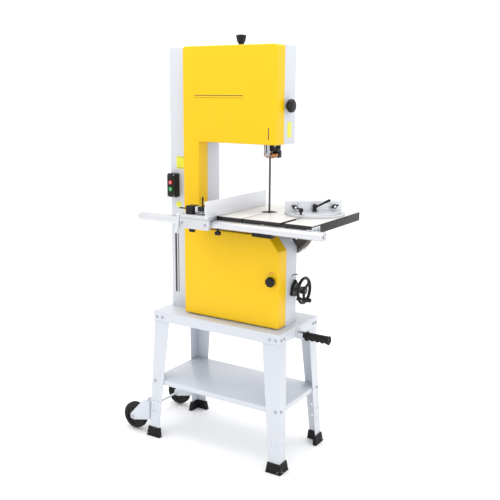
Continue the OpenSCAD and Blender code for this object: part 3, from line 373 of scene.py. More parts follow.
def piece(name, body, solid, mats, stands_for=(), smooth=32):
    """Turns a Solid into an object of the frame that rides on a CAD body."""
    bm = solid.bm
    bmesh.ops.transform(bm, matrix=TO_FRAME, verts=bm.verts)
    mesh = bpy.data.meshes.new(name)
    bm.to_mesh(mesh)
    bm.free()
    for m in mats:
        mesh.materials.append(M[m])
    mesh.shade_smooth()
    mesh.set_sharp_from_angle(angle=math.radians(smooth))
    obj = bpy.data.objects.new(name, mesh)
    bpy.context.scene.collection.objects.link(obj)
    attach(obj, body)
    if stands_for:
        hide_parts(*stands_for)
    return obj


def dressed(node, width, mats=None, pick=None, seg=2):
    """A copy of a CAD node with clean faces and rounded edges, which stands for the node."""
    solid = Solid()
    bm = solid.bm
    bm.from_mesh(frame["nodes"][node].data)
    bmesh.ops.transform(bm, matrix=TO_MM, verts=bm.verts)
    bmesh.ops.remove_doubles(bm, verts=bm.verts, dist=WELD_GAP)
    bmesh.ops.dissolve_limit(bm, angle_limit=math.radians(0.6), verts=bm.verts[:], edges=bm.edges[:])
    bmesh.ops.recalc_face_normals(bm, faces=bm.faces)
    if width:
        sharp = [e for e in bm.edges if e.is_manifold and e.calc_face_angle(0) > math.radians(38)]
        bmesh.ops.bevel(bm, geom=sharp, offset=width, segments=seg, profile=0.5, affect="EDGES",
                        clamp_overlap=False)
    bm.normal_update()
    for f in bm.faces:
        f.material_index = pick(f) if pick else 0
    slot = NODE_SLOT[node]
    return piece(node + "_made", BODY[node], solid, mats or [slot], [node])


# ---------- plain sheet and cast nodes with rounded edges ----------
EDGES = {
    "column": 1.4, "upper_housing": 1.1, "neck": 1.1, "lower_housing": 1.1, "hinge_pins": 0.6,
    "frame_brackets": 0.9, "wheel_carrier": 1.2, "lower_axle": 0.7, "upper_wheel": 1.2, "upper_tyre": 0.8,
    "lower_wheel": 1.2, "lower_tyre": 0.8, "drive_belt": 0.8, "motor_pulley": 0.6, "guide_post": 0.0,
    "lower_guide": 0.7, "trunnion_base": 1.3, "table_trunnions": 1.3, "table_insert": 0.35, "guide_rail": 0.6,
    "fence_plate": 0.5, "mitre_bar": 0.6, "mitre_body": 0.9, "stand_top": 1.0, "stand_legs": 0.9,
    "shelf": 0.9,
    "wheel_brackets": 0.7, "lift_bracket": 0.7,
}
LOOKS = {"fence_plate": "fence_aluminium", "mitre_body": "cast_aluminium", "lower_guide": "black_plastic"}
for node, width in EDGES.items():
    dressed(node, width, [LOOKS[node]] if node in LOOKS else None)

table = Span("table_top")


def table_face_with_slot_shade(f):
    """0 machined top, 1 painted or left rough, and the inside of the slots below the top, which takes the dark
    paint as painted shade.
    """
    return 0 if f.normal.z > 0.9 and f.calc_center_median().z > table.z1 - 1 else 1


# The slot walls and floors below the top are machined like the top, but get the dark paint as painted shade.
dressed("table_top", 0.7, ["table_iron", "table_paint_and_slot_shade"], table_face_with_slot_shade)

# ---------- doors ----------
YELLOW = "door_paint"
door_up, door_low = Span("upper_door"), Span("lower_door")
column, neck, upper_box, lower_box = Span("column"), Span("neck"), Span("upper_housing"), Span("lower_housing")
hinges = Span("hinge_pins")
hinge_x = hinges.cx
hinge_y = hinges.y0 + 5.5
HINGE_H, HINGE_R = 22.0, 5.5
DOOR_BACK, DOOR_SHEET = column.y0 - 0.5, 2.0
DOOR_LEFT = door_up.x1 - (upper_box.x1 - upper_box.x0) + 2
FRONT_ROUND = 5.0


def shrink(points, d):
    """A closed outline moved inward by d with square corners."""
    area = sum(p[0] * q[1] - q[0] * p[1] for p, q in zip(points, points[1:] + points[:1]))
    way = 1 if area > 0 else -1
    done = []
    for i, q in enumerate(points):
        u = (Vector(q) - Vector(points[i - 1])).normalized()
        w = (Vector(points[(i + 1) % len(points)]) - Vector(q)).normalized()
        nu, nw = Vector((-u.y, u.x)) * way, Vector((-w.y, w.x)) * way
        done.append(tuple(Vector(q) + (nu + nw) * d / (1 + nu.dot(nw))))
    return done


def door_shell(solid, outline, radii):
    """A tray of sheet: rounded front rim, sides, and a lip turned in at the back."""
    front, deep = door_up.y0, DOOR_BACK
    quarter = [math.radians(90 * k / 5) for k in range(6)]
    profile = [(FRONT_ROUND * (1 - math.sin(a)), front + FRONT_ROUND * (1 - math.cos(a))) for a in quarter]
    profile += [(0, deep - 1), (1, deep), (8, deep), (8, deep - DOOR_SHEET), (DOOR_SHEET, deep - DOOR_SHEET)]
    small = FRONT_ROUND - DOOR_SHEET
    profile += [(DOOR_SHEET + small * (1 - math.sin(a)), front + DOOR_SHEET + small * (1 - math.cos(a)))
                for a in reversed(quarter)]
    part = bmesh.new()
    rings = []
    for inset, y in profile:
        loop = rounded_loop(shrink(outline, inset), [max(r - inset, 0.5) for r in radii])
        rings.append([part.verts.new((x, y, z)) for x, z in loop])
    for low, high in zip(rings, rings[1:]):
        for k in range(len(low)):
            n = (k + 1) % len(low)
            part.faces.new((low[k], low[n], high[n], high[k]))
    part.faces.new(rings[0])
    part.faces.new(rings[-1])
    bmesh.ops.recalc_face_normals(part, faces=part.faces)
    solid.take(part)


def knuckle(solid, z):
    solid.lathe(hoop(3.1, HINGE_R, 0.3, HINGE_H),
                at(hinge_x, hinge_y, z), steps=32)
    solid.box(hinge_x + 3.4, DOOR_LEFT + 2, hinge_y - HINGE_R, hinge_y - 1.8, z + 0.6, z + HINGE_H, r=0.5)


knuckle_heights = sorted({round((TO_MM @ v.co).z) for v in frame["nodes"]["hinge_pins"].data.vertices})
pins = [z for z in knuckle_heights if z + HINGE_H in knuckle_heights or z + HINGE_H + 1 in knuckle_heights]
pins = [z for z in pins if z - 9 in knuckle_heights]
CORNER = 14.0
solid = Solid()
door_shell(solid, [(DOOR_LEFT, door_up.z0), (neck.x1, door_up.z0), (neck.x1, upper_box.z0),
                   (door_up.x1, upper_box.z0), (door_up.x1, door_up.z1), (DOOR_LEFT, door_up.z1)],
           [3, 3, 3, 4, CORNER, CORNER])
for z in pins:
    if z > door_up.z0:
        knuckle(solid, z)
piece("upper_door_shell", "upper_door", solid, [YELLOW], stands_for=["upper_door"])

CHAMFER_X, CHAMFER_Z = 46.0, 60.0
solid = Solid()
door_shell(solid, [(DOOR_LEFT, door_low.z0), (door_low.x1, door_low.z0),
                   (door_low.x1, door_low.z1 - CHAMFER_Z),
                   (door_low.x1 - CHAMFER_X, door_low.z1), (DOOR_LEFT, door_low.z1)], [4, 4, 5, 5, 16])
for z in pins:
    if z < door_low.z1:
        knuckle(solid, z)
piece("lower_door_shell", "lower_door", solid, [YELLOW], stands_for=["lower_door"])


# ---------- knobs ----------
def lobed(count, amount, low, high):
    """A radius rule for a grip with that many lobes between two heights."""
    def rule(a, r, z):
        fade = min(1.0, max(0.0, (z - low) / 3)) * min(1.0, max(0.0, (high - z) / 3))
        return r * (1 - amount * fade * (0.5 + 0.5 * math.cos(count * a)) ** 2)
    return rule


latch = Span("door_latch")
latch_at = (latch.x0 + latch.x1) / 2
latch_reach = column.y0 - door_up.y0 + 2
solid = Solid()
solid.lathe([(0, 0), (12, 0), (12, 7), (20.5, 8.5), (20.5, 19), (17, 23), (8, 24), (0, 24)],
            at(latch_at, door_up.y0, latch.cz) @ ROT_TO_FRONT, steps=72, soft=2.5, shape=lobed(8, 0.10, 8,
                                                                                               24))
solid.lathe(disc(6, 0, latch_reach),
            at(latch_at, door_up.y0 - 1, latch.cz) @ ROT_TO_Y, mat=1, steps=32)
solid.box(latch_at - 10, latch_at + 20, latch.y1 - 4, latch.y1, latch.cz - 8, latch.cz + 8, r=1.5, mat=1)
piece("door_latch_knob", "door_latch", solid, ["black_plastic", "zinc"], stands_for=["door_latch"])

knob = Span("tension_knob")
cx, cy = knob.cx, knob.cy
solid = Solid()
base = upper_box.z1
solid.lathe([(6, base + 2), (11, base + 2), (11, base + 14), (15, base + 17), (20.5, base + 40),
             (20.5, knob.z1 - 3), (13, knob.z1), (0, knob.z1)], at(cx, cy, 0), steps=72, soft=2.0,
            shape=lobed(6, 0.16, base + 15, knob.z1 - 1))
solid.lathe([(0, knob.z0), (4, knob.z0), (5, knob.z0 + 1.5), (5, base + 18), (0, base + 18)], at(cx, cy, 0),
            mat=1, steps=24)
THREAD_SIDES, THREAD_TURNS, THREAD_PITCH = 16, 88, 2.0
thread = [(cx + 5.0 * math.cos(a), cy + 5.0 * math.sin(a), knob.z0 + 3 + THREAD_PITCH * a / TAU)
          for a in [TAU * k / THREAD_SIDES for k in range(THREAD_SIDES * THREAD_TURNS)]]
solid.tube(thread, 0.45, mat=1, sides=4)
piece("tension_knob_star", "tension_knob", solid, ["black_plastic", "machined_steel"],
      stands_for=["tension_knob"])

guide_knob = Span("guide_knob")
side = upper_box.x1
post = Span("guide_post")
pin_y, pin_z = (guide_knob.y0 + guide_knob.y1) / 2, guide_knob.cz
solid = Solid()
solid.lathe([(6, side + 4), (14, side + 4), (14, side + 11), (25, side + 13), (26, side + 17),
             (26, side + 24),
             (22, side + 30), (10, side + 32), (0, side + 32)], at(0, pin_y, pin_z) @ ROT_TO_X, steps=96,
            soft=2.5, shape=lobed(10, 0.07, side + 12, side + 31))
solid.lathe(disc(7.9, post.x0 + 22, side + 8),
            at(0, pin_y, pin_z) @ ROT_TO_X, mat=1)
TEETH = 18
gear = []
for i in range(TEETH):
    for r, q in ((11.6, -7.5), (12.7, -5.6), (13.6, -4.9), (14.8, -2.2), (14.8, 2.2), (13.6, 4.9),
                 (12.7, 5.6), (11.6, 7.5)):
        a = math.radians(i * 360 / TEETH + q)
        gear.append((r * math.cos(a), r * math.sin(a)))
solid.prism(gear, post.x0 + 1, post.x1 - 1, r=0.3, mat=1,
            place=at(0, pin_y, pin_z) @ FACING_X)
piece("guide_knob_grip", "guide_knob", solid, ["black_plastic", "machined_steel"], stands_for=["guide_knob"])

# ---------- spring ----------
spring = Span("tension_spring")
WIRE, COIL_R, TURNS, STEPS = 2.1, 8.5, 8, 28
coil = []
for k in range(TURNS * STEPS + 1):
    t = k / (TURNS * STEPS)
    z = spring.z0 + WIRE + (spring.z1 - spring.z0 - 2 * WIRE) * t
    a = TAU * TURNS * t
    coil.append((spring.cx + COIL_R * math.cos(a), spring.cy + COIL_R * math.sin(a), z))
solid = Solid()
solid.tube(coil, WIRE, sides=12)
piece("tension_coil", "carrier", solid, ["spring_steel"], stands_for=["tension_spring"])

# ---------- blade with teeth ----------
wheel_up, wheel_low = Span("upper_tyre"), Span("lower_tyre")
wheel_r = (wheel_up.x1 - wheel_up.x0) / 2
R_IN, R_OUT, PITCH, GULLET = wheel_r + 0.3, wheel_r + 1.0, 6.0, 2.3
run_length = wheel_up.cz - wheel_low.cz
blade = Span("saw_blade")
total = 2 * run_length + TAU * R_OUT
teeth = int(total / PITCH)


def blade_point(s, r):
    """A point of the loop at length s: down the right run, round, up the left run, and round."""
    if s < run_length:
        return wheel_up.cx + r, wheel_up.cz - s
    s -= run_length
    if s < math.pi * R_OUT:
        a = s / R_OUT
        return wheel_up.cx + r * math.cos(a), wheel_low.cz - r * math.sin(a)
    s -= math.pi * R_OUT
    if s < run_length:
        return wheel_up.cx - r, wheel_low.cz + s
    a = (s - run_length) / R_OUT
    return wheel_up.cx - r * math.cos(a), wheel_up.cz + r * math.sin(a)


part = bmesh.new()
sections = []
for k in range(teeth):
    sway = 0.28 * (1 if k % 2 else -1)
    for share, deep, kink in ((0.0, 0.0, sway), (0.25, GULLET, 0.0), (0.55, GULLET * 0.75, 0.0)):
        s = (k + share) * total / teeth
        ring = []
        for r, y in ((R_IN, blade.y0 + deep), (R_OUT, blade.y0 + deep), (R_OUT, blade.y1), (R_IN, blade.y1)):
            shift = kink * 0.5 if y < 0 else 0.0
            x, z = blade_point(s, r + shift)
            ring.append(part.verts.new((x, y, z)))
        sections.append(ring)
for a, b in zip(sections, sections[1:] + sections[:1]):
    for k in range(4):
        part.faces.new((a[k], a[(k + 1) % 4], b[(k + 1) % 4], b[k]))
bmesh.ops.recalc_face_normals(part, faces=part.faces)
solid = Solid()
solid.take(part)
piece("saw_blade_band", "frame", solid, ["blade_steel"], stands_for=["saw_blade"])

# ---------- upper guide ----------
block = Span("guide_block")
guard = Span("blade_guard")
rollers = {n: Span("upper_roller_" + n) for n in ("left", "right", "back")}
roller_z = rollers["left"].cz
solid = Solid()
solid.box(block.x0, -6.5, 9.5, 30, roller_z - 9, block.z1, r=1.5)
solid.box(7.5, 36, 9.5, 30, roller_z - 9, block.z1, r=1.5)
solid.box(block.x0, 36, 10.5, 29.5, roller_z + 13, block.z1 - 0.4, r=1.2)
POST_END = block.z1 + 25
solid.box(-5, post.x1 + 3, post.y0 - 3, post.y1 + 3, block.z1 - 3, POST_END, r=1.6)
solid.lathe([(0, 13), (9.5, 13), (10.5, 14), (10.5, 22), (8.5, 23), (8.5, 31), (7, 33), (0, 33)],
            at(0, 0, roller_z + 2) @ ROT_TO_X, mat=2, steps=64, shape=lobed(18, 0.05, 13, 23))
for z in (roller_z + 2, POST_END - 9):
    solid.lathe([(0, 18), (6.5, 18), (7.2, 19), (7.2, 25.6), (6.4, 26.4), (0, 26.4)],
                at(0, 2, z) @ ROT_TO_LEFT, mat=2, steps=64, shape=lobed(20, 0.07, 18, 27))
solid.box(-24, -17, -4, 10, roller_z - 4, POST_END - 3, r=1.2)
solid.lathe([(0, 0), (3, 0), (3, 7), (2.4, 8), (0, 8)],
            at(post.x1 + 3, post.cy - 4, POST_END - 12) @ ROT_TO_X, steps=24)
for x in (rollers["left"].cx, rollers["right"].cx):
    solid.lathe([(0, -7.5), (5, -7.5), (5, -4.6), (3, -4.6), (3, 14), (0, 14)], at(x, 0, roller_z) @ ROT_TO_Y,
                mat=1, steps=24, soft=0.5)
solid.lathe(disc(3, -12, 13), at(0, rollers["back"].cy, roller_z) @ ROT_TO_X, mat=1, steps=24)
for z in (roller_z + 24, roller_z + 15):
    solid.lathe([(0, 0), (3.4, 0), (3.4, 2.4), (1.6, 2.4), (1.6, 1.2), (0, 1.2)],
                at(30, post.y0 - 3, z + 22) @ ROT_TO_FRONT, mat=1, steps=24)
piece("guide_block_body", "guide", solid, ["black_plastic", "machined_steel", "bronze"],
      stands_for=["guide_block"])
for name, span in rollers.items():
    solid = Solid()
    half = 4.0
    profile = [(3.1, -half), (5.6, -half), (6.4, -half + 0.8), (8.6, -half + 0.8), (9.4, -half),
               (10.4, -half),
               (11, -half + 0.7), (11, half - 0.7), (10.4, half), (9.4, half), (8.6, half - 0.8),
               (6.4, half - 0.8), (5.6, half), (3.1, half), (3.1, -half)]
    spin = ROT_TO_X if name == "back" else ROT_TO_Y
    solid.lathe(profile, at(span.cx, span.cy, roller_z) @ spin, steps=56)
    piece("guide_roller_" + name, "roller_" + name, solid, ["bronze"], stands_for=["upper_roller_" + name])

solid = Solid()
SLOT_HALF, SLOT_X = 2.2, -6.0
solid.box(guard.x0, SLOT_X - SLOT_HALF, -17, -15.5, guard.z0, guard.z1, r=0.4)
solid.box(SLOT_X + SLOT_HALF, 9, -17, -15.5, guard.z0, guard.z1, r=0.4)
for z0, z1 in ((guard.z0, guard.z0 + 9), (guard.z0 + 62, guard.z0 + 74), (guard.z0 + 128, guard.z0 + 140),
               (guard.z1 - 9, guard.z1)):
    solid.box(SLOT_X - SLOT_HALF - 0.4, SLOT_X + SLOT_HALF + 0.4, -17, -15.5, z0, z1, r=0.3)
solid.box(8, 14, -17, -12, roller_z + 11, roller_z + 19, r=0.6)
piece("blade_guard_plate", "guide", solid, ["machined_steel"], stands_for=["blade_guard"])

# ---------- handwheel, crank, lock ring ----------
hand = Span("belt_handwheel")
hy, hz = (hand.y0 + hand.y1) / 2, (hand.z0 + hand.z1) / 2
hr = (hand.y1 - hand.y0) / 2
hx = lower_box.x1 + 46
RIM = 6.5
to_wheel = at(hx, hy, hz) @ ROT_TO_X
solid = Solid()
rim = []
for k in range(21):
    a = TAU * k / 20
    rim.append((hr - RIM + RIM * math.cos(a), 7.2 * math.sin(a) * 0.9))
rim[-1] = rim[0]


def finger_dents(a, r, z):
    """Shallow dents round the inner side of the rim."""
    return r - (0.9 if z < -2 else 0) * (0.5 + 0.5 * math.cos(24 * a))


solid.lathe(rim, to_wheel, steps=96, shape=finger_dents)
solid.lathe([(6.1, -14), (15, -14), (15, -6), (17, -2), (17, 3), (13, 9), (6.1, 10), (6.1, -14)], to_wheel,
            steps=56)
for k in range(3):
    spoke = turned(120 * k, "Z")
    outline = [(11, -8.5), (24, -5.5), (hr - 10, -5.0), (hr - 8, 0), (hr - 10, 5.0), (24, 5.5), (11, 8.5)]
    solid.prism(outline, -4, 4, r=1.6, seg=3, place=to_wheel @ spoke)
reach = hr - RIM
boss = at(0, -reach * math.cos(math.radians(28)), -reach * math.sin(math.radians(28)))
solid.lathe([(0, -6), (9, -6), (9, 5.5), (7.5, 7), (0, 7)], at(hx, hy, hz) @ boss @ ROT_TO_X, steps=40,
            soft=0.8)
solid.lathe([(0, hand.x0), (5, hand.x0), (6, hand.x0 + 1.5), (6, hx + 8), (0, hx + 9)],
            at(0, hy, hz) @ ROT_TO_X, mat=1, steps=32)
piece("handwheel_cast", "belt_handwheel", solid, ["black_plastic", "machined_steel"],
      stands_for=["belt_handwheel"])
solid = Solid()
solid.lathe([(0, 7.2), (5, 7.2), (5, 17), (6.5, 17.4), (8, 18.5), (9.3, 24), (9.5, 34), (8.4, 44), (8.8, 51),
             (7.6, 54.4), (3.4, 55), (3.4, 53.6), (0, 53.6)], at(hx, hy, hz) @ boss @ ROT_TO_X, steps=48,
             soft=0.9)
piece("crank_handle", "crank_grip", solid, ["black_plastic"], stands_for=["crank_grip"])
solid = Solid()


def lock_lobes(a, r, z):
    return r + (9.5 if r > 20 else 0) * max(0.0, math.cos(3 * (a - math.radians(60)))) ** 6


solid.lathe([(6.1, 0.5), (29, 0.5), (30, 2), (30, 9.5), (28, 11.6), (19, 11.6), (16, 9.8), (6.1, 9.8),
             (6.1, 0.5)], at(lower_box.x1, hy, hz) @ ROT_TO_X, steps=120, shape=lock_lobes)
piece("lock_ring_star", "frame", solid, ["black_plastic"], stands_for=["lock_ring"])

# ---------- tilt lock lever ----------
arc = Span("table_trunnions")
LOCK_ANGLE, LOCK_R = math.radians(-62), 139.0
lx, lz = LOCK_R * math.cos(LOCK_ANGLE), table.z1 + LOCK_R * math.sin(LOCK_ANGLE)
solid = Solid()
solid.lathe([(5.1, arc.y1 + 1), (13, arc.y1 + 1), (13, arc.y1 + 17), (11, arc.y1 + 20), (5.1, arc.y1 + 20),
             (5.1, arc.y1 + 1)], at(lx, 0, lz) @ ROT_TO_Y, steps=48)
lever = at(lx, arc.y1 + 11, lz) @ turned(-140, "Y")
solid.lathe([(0, 8), (5.4, 8), (4.4, 30), (4.4, 52), (5.8, 66), (5.2, 70), (3, 72), (0, 72)], lever, steps=32,
            soft=1.0)
piece("tilt_lever", "tilt_lock", solid, ["black_plastic"], stands_for=["tilt_lock"])

# ---------- rail fittings ----------
rail = Span("guide_rail")
tz, front = table.z1, table.y0
solid = Solid()
for x in (-210, 80):
    solid.box(x, x + 28, rail.y1, front + 0.5, tz - 32, tz - 15, r=1.0)
    solid.lathe(disc(5.5, 0, 3.2, 3.6), at(x + 14, (rail.y1 + front) / 2 - 1, tz - 15), mat=1,
                steps=6)
solid.box(table.x1, table.x1 + 4, rail.y1, front + 52, tz - 32, tz - 4, r=1.2)
solid.box(table.x1 - 22, table.x1 + 1, rail.y1, front, tz - 32, tz - 13, r=1.0)
for y in (8, 38):
    place = at(table.x1 + 4, front + y, tz - 17) @ ROT_TO_X
    solid.lathe([(0, 0), (7.5, 0), (7.5, 1.2), (6.2, 1.4), (0, 1.4)], place, mat=1, steps=32)
    solid.lathe([(0, 1.4), (5.8, 1.4), (5.8, 4.4), (5.2, 5), (0, 5)], place, mat=1, steps=6)
for x in (-217, -95):
    knob_at = at(x, rail.y1 - 17, rail.z0)
    solid.lathe([(0, 0), (5, 0), (5, -9), (9, -11), (13, -14), (13, -22), (10, -25.5), (0, -26)], knob_at,
                mat=2,
                steps=56, soft=1.2, shape=lambda a, r, z: r * (1 - (0.4 if z < -10 else 0) * math.sin(a) ** 4))
solid.box(65, 150, rail.y0 + 6, rail.y1, rail.z0 - 12, rail.z0, r=1.5, mat=2)
for x in (72, 108, 143):
    solid.box(x - 1, x + 1, rail.y0 + 5.4, rail.y0 + 8, rail.z0 - 11, rail.z0 - 1, r=0.4, mat=2)
piece("rail_brackets", "table", solid, ["cast_aluminium", "zinc", "black_plastic"],
      ["rail_fittings"])

# ---------- rip fence ----------
plate = Span("fence_plate")
fx = plate.x0
solid = Solid()
top = rail.z1
solid.box(fx - 137, fx, rail.y0 - 20, rail.y1 + 4, top + 1, top + 19, r=3.0, seg=4)
solid.box(fx - 137, fx, rail.y0 - 20, rail.y0 - 2, rail.z0 - 6, top + 8, r=3.0, seg=4)
solid.box(fx - 128, fx - 10, rail.y0 - 20.6, rail.y0 - 19, rail.z0 + 4, top + 3, r=0.7)
solid.lathe(disc(4, 0, 16), at(fx - 152, rail.y0 - 10, top + 8) @ ROT_TO_X, mat=2, steps=24)
for x in (fx - 124, fx - 14):
    solid.lathe([(0, 0), (4.5, 0), (4.5, 2.6), (2.2, 3), (2.2, 1.5), (0, 1.5)],
                at(x, rail.y0 - 20.3, rail.z0 + 15) @ ROT_TO_FRONT, mat=2, steps=32)
x0, x1 = fx - 112, fx - 78
y0, y1 = rail.y0 - 11, rail.y1 - 6
solid.box(x0, x1, y0, y1, top + 10, top + 52, r=1.8, mat=1)
solid.lathe(disc(2.6, 0, 52), at(x0 + 2, rail.y0 + 16, top + 36) @ ROT_TO_LEFT, mat=1,
            steps=24)
for k in range(5):
    z = top + 22 + 6 * k
    solid.box(x0 - 0.5, x1 + 0.3, y0 - 0.6, y1 + 0.5, z, z + 3, r=0.6, mat=1)
x0, x1 = fx - 72, fx
y0, y1 = rail.y0 - 8, rail.y0 + 26
solid.box(x0 + 0.3, x1, y0 + 2, y1, top + 19, top + 50, r=1.0, mat=0)
solid.box(x0 + 14, x1 - 3, y0, y1 - 4, top + 33, top + 51, r=1.6, mat=1)
solid.box(x0 + 2, x1 - 3, y0 + 0.4, y0 + 5, top + 21, top + 25, r=0.8, mat=1)
solid.box(x0 + 2, x1 - 3, y0 + 0.4, y0 + 5, top + 28, top + 31, r=0.8, mat=1)
for x in (x0 + 34, x1 - 8):
    solid.lathe(disc(3.6, 0, 2, 2.2), at(x, y0 + 0.4, top + 27) @ ROT_TO_FRONT, mat=2, steps=24)
solid.lathe([(0, top + 50), (3.0, top + 50), (3.0, top + 74), (3.5, top + 75), (3.5, top + 86),
             (2.6, top + 87),
             (0, top + 87)], at(fx - 46, rail.y0 + 10, 0), mat=1, steps=32,
             shape=lobed(16, 0.08, top + 74, top + 88))
piece("fence_head_cast", "fence", solid, ["cast_aluminium", "black_plastic", "zinc"],
      ["fence_head"])

pivot = at(fx - 151, rail.y0 - 10, top + 8) @ turned(-17, "X")
solid = Solid()
solid.lathe(hoop(4.1, 11, 0, 13), pivot @ ROT_TO_X, steps=48)
solid.prism(rounded_loop([(-8, 2), (8, 2), (7, -40), (8, -68), (-8, -68), (-6, -40)], [0, 0, 8, 5, 5, 8]),
            0.4, 12.6, r=1.8, seg=3, place=pivot @ FACING_X)
piece("fence_cam_lever", "fence_lever", solid, ["frame_paint"], stands_for=["fence_lever"])

# ---------- mitre gauge ----------
bar = Span("mitre_bar")
MITRE_ANGLE, MITRE_Y, MITRE_HALF = 43, 57.0, 118.0
to_mitre = at(bar.cx, MITRE_Y, 0) @ turned(MITRE_ANGLE, "Z")
solid = Solid()
solid.box(-MITRE_HALF + 3, MITRE_HALF - 3, 14.2, 20.4, tz + 1, tz + 51, r=0.7, place=to_mitre)
solid.box(-MITRE_HALF + 3, MITRE_HALF - 3, 20, 24, tz + 1, tz + 36, r=0.6, place=to_mitre)
solid.box(-MITRE_HALF + 3, MITRE_HALF - 3, 20, 24, tz + 42, tz + 51, r=0.6, place=to_mitre)
for z in (tz + 7, tz + 44):
    solid.box(-MITRE_HALF + 3, MITRE_HALF - 3, 13.6, 14.6, z, z + 1.6, r=0.3, place=to_mitre)
for x in (-78, 82):
    place = to_mitre @ at(x, 14, tz + 28) @ ROT_TO_FRONT
    solid.lathe([(0, 0), (5, 0), (5, 6), (9.2, 7), (9.2, 15), (7, 18), (0, 18)], place, mat=1, steps=48,
                soft=1.0)
    solid.lathe(disc(4.6, 17.9, 18.6, 18.8), place, mat=2, steps=32)
    for s in (-1, 1):
        wing = place @ turned(-25 if x < 0 else 20, "Z")
        solid.prism(rounded_loop([(s * 5, -4), (s * 17, -2.6), (s * 17, 2.6), (s * 5, 4)][::s],
                    [0, 2, 2, 0][::s]), 9, 15, r=1.2, mat=1, place=wing)
for x in (-64, 66):
    solid.lathe(disc(2.6, 0, 1.2, 1.6), to_mitre @ at(x, 14, tz + 40) @ ROT_TO_FRONT, mat=3,
                steps=24)
piece("mitre_fence_plate", "mitre_head", solid, ["fence_aluminium", "black_plastic", "scale_white", "zinc"],
      ["mitre_fence"])

solid = Solid()
for k in range(-12, 13):
    a = math.radians(-90 + 5 * k)
    long = 7 if k % 2 == 0 else 4
    mark = to_mitre @ Matrix.Rotation(a, 4, "Z")
    solid.box(MITRE_HALF - 2 - long, MITRE_HALF - 2, -0.35, 0.35, tz + 10.05, tz + 10.3, r=0.08, place=mark)
piece("mitre_scale_marks", "mitre_head", solid, ["label_dark"])

solid = Solid()
solid.lathe([(5.1, tz + 11), (10, tz + 11), (10, tz + 15), (8, tz + 17), (8, tz + 28), (9, tz + 31),
             (7, tz + 38), (3, tz + 40), (0, tz + 40)], to_mitre, steps=48, soft=0.8)
place = to_mitre @ at(0, 0, tz + 26) @ turned(-40, "Z") @ turned(62, "Y")
solid.lathe([(0, 4), (5.2, 4), (4.2, 20), (4.2, 46), (5.5, 62), (5.3, 70), (3.4, 73.6), (0, 74)], place,
            steps=32, soft=1.0)
piece("mitre_lock_lever", "mitre_handle", solid, ["black_plastic"], stands_for=["mitre_handle"])
solid = Solid()
place = to_mitre @ at(-72, -62, tz + 10)
solid.lathe([(0, 0), (4.4, 0), (4.4, 8), (8.6, 10), (9, 13), (9, 20), (6.5, 24), (0, 25)], place, steps=48,
            soft=1.2, shape=lobed(8, 0.06, 9, 23))
place = to_mitre @ at(-8, -42, tz + 10)
solid.lathe([(0, 0), (6, 0), (6, 3), (3.2, 3.4), (3.2, 5), (0, 5)], place, mat=1, steps=6)
piece("mitre_stop_knob", "mitre_head", solid, ["black_plastic", "zinc"])

# ---------- switch ----------
box = Span("switch_box")
stop, start = Span("stop_button"), Span("start_button")
front_y = box.y0
solid = Solid()
solid.box(box.x0, box.x1, front_y + 4, box.y1, box.z0, box.z1, r=5.0, seg=4)
solid.box(box.x0 + 1.5, box.x1 - 1.5, front_y + 2, front_y + 8, box.z0 + 1.5, box.z1 - 1.5, r=1.8, seg=3)
HOLE = 9.6
for span in (stop, start):
    solid.lathe([(HOLE, 2.5), (14.5, 2.5), (14.5, -0.4), (13.6, -1.2), (HOLE, -0.4), (HOLE, 2.5)],
                at(stop.cx, front_y + 2, span.cz) @ ROT_TO_Y, steps=56)
solid.box(box.x0 + 7, box.x1 - 7, front_y + 0.4, front_y + 3.5, box.z1 - 19, box.z1 - 8, r=1.2)
for x, z in [(x, z) for z in (box.z0 + 6, box.z1 - 6) for x in (box.x0 + 6, box.x1 - 6)]:
    solid.lathe(disc(2.4, 0, 0.8, 1.0), at(x, front_y + 2, z) @ ROT_TO_FRONT, mat=1, steps=20)
piece("switch_case", "frame", solid, ["black_plastic", "zinc"], stands_for=["switch_box"])
for name, span, look in (("stop", stop, "red_plastic"), ("start", start, "green_plastic")):
    solid = Solid()
    cz = (span.z0 + span.z1) / 2
    solid.lathe([(0, 0), (6.8, 0), (8.6, 0.7), (9, 2), (9, 10), (11.8, 10), (11.8, 12), (0, 12)],
                at(stop.cx, span.y0, cz) @ ROT_TO_Y, steps=56, soft=0.4)
    if name == "start":
        solid.box(stop.cx - 0.7, stop.cx + 0.7, span.y0 - 0.15, span.y0 + 0.3, cz - 4, cz + 4, r=0.1, mat=1)
    else:
        solid.lathe(hoop(3.0, 4.2, 0, 0.3),
                    at(stop.cx, span.y0 - 0.15, cz) @ ROT_TO_Y, mat=1, steps=40)
    piece(name + "_button_cap", name + "_button", solid, [look, "scale_white"], stands_for=[name + "_button"])

# ---------- motor ----------
motor = Span("motor")
pulley = Span("motor_pulley")
mcx, mcz = pulley.cx, pulley.cz
plate_y0, plate_y1 = lower_box.y1 + 3, lower_box.y1 + 11
solid = Solid()
FINS, ROOT, TIP = 40, 60.0, 67.5
ribs = []
for k in range(FINS):
    for share, r in ((-0.42, ROOT), (-0.17, ROOT), (-0.13, TIP), (0.13, TIP), (0.17, ROOT)):
        a = TAU * (k + share) / FINS
        ribs.append((r * math.cos(a), r * math.sin(a)))
to_motor = at(mcx, 0, mcz) @ ROT_TO_Y
solid.prism(ribs, plate_y1 + 14, motor.y1 - 40, place=to_motor)
solid.lathe([(0, plate_y1), (68, plate_y1), (68, plate_y1 + 16), (58, plate_y1 + 18), (0, plate_y1 + 18)],
            to_motor, steps=72, soft=2.0)
solid.lathe([(59, motor.y1 - 44), (67.5, motor.y1 - 44), (67.5, motor.y1 - 20), (61, motor.y1 - 2),
             (54, motor.y1), (54, motor.y1 - 3), (59, motor.y1 - 8), (59, motor.y1 - 44)], to_motor, steps=72)
# A flat near-black disc inside the fan cover, behind the grille: painted shade for the inside of the cover.
solid.lathe(disc(59, motor.y1 - 12, motor.y1 - 14), to_motor, mat=1,
            steps=48)
for r in (14, 27, 41):
    solid.lathe(hoop(r - 1.4, r + 1.4, motor.y1 - 2.6, motor.y1 - 0.4), to_motor, steps=56)
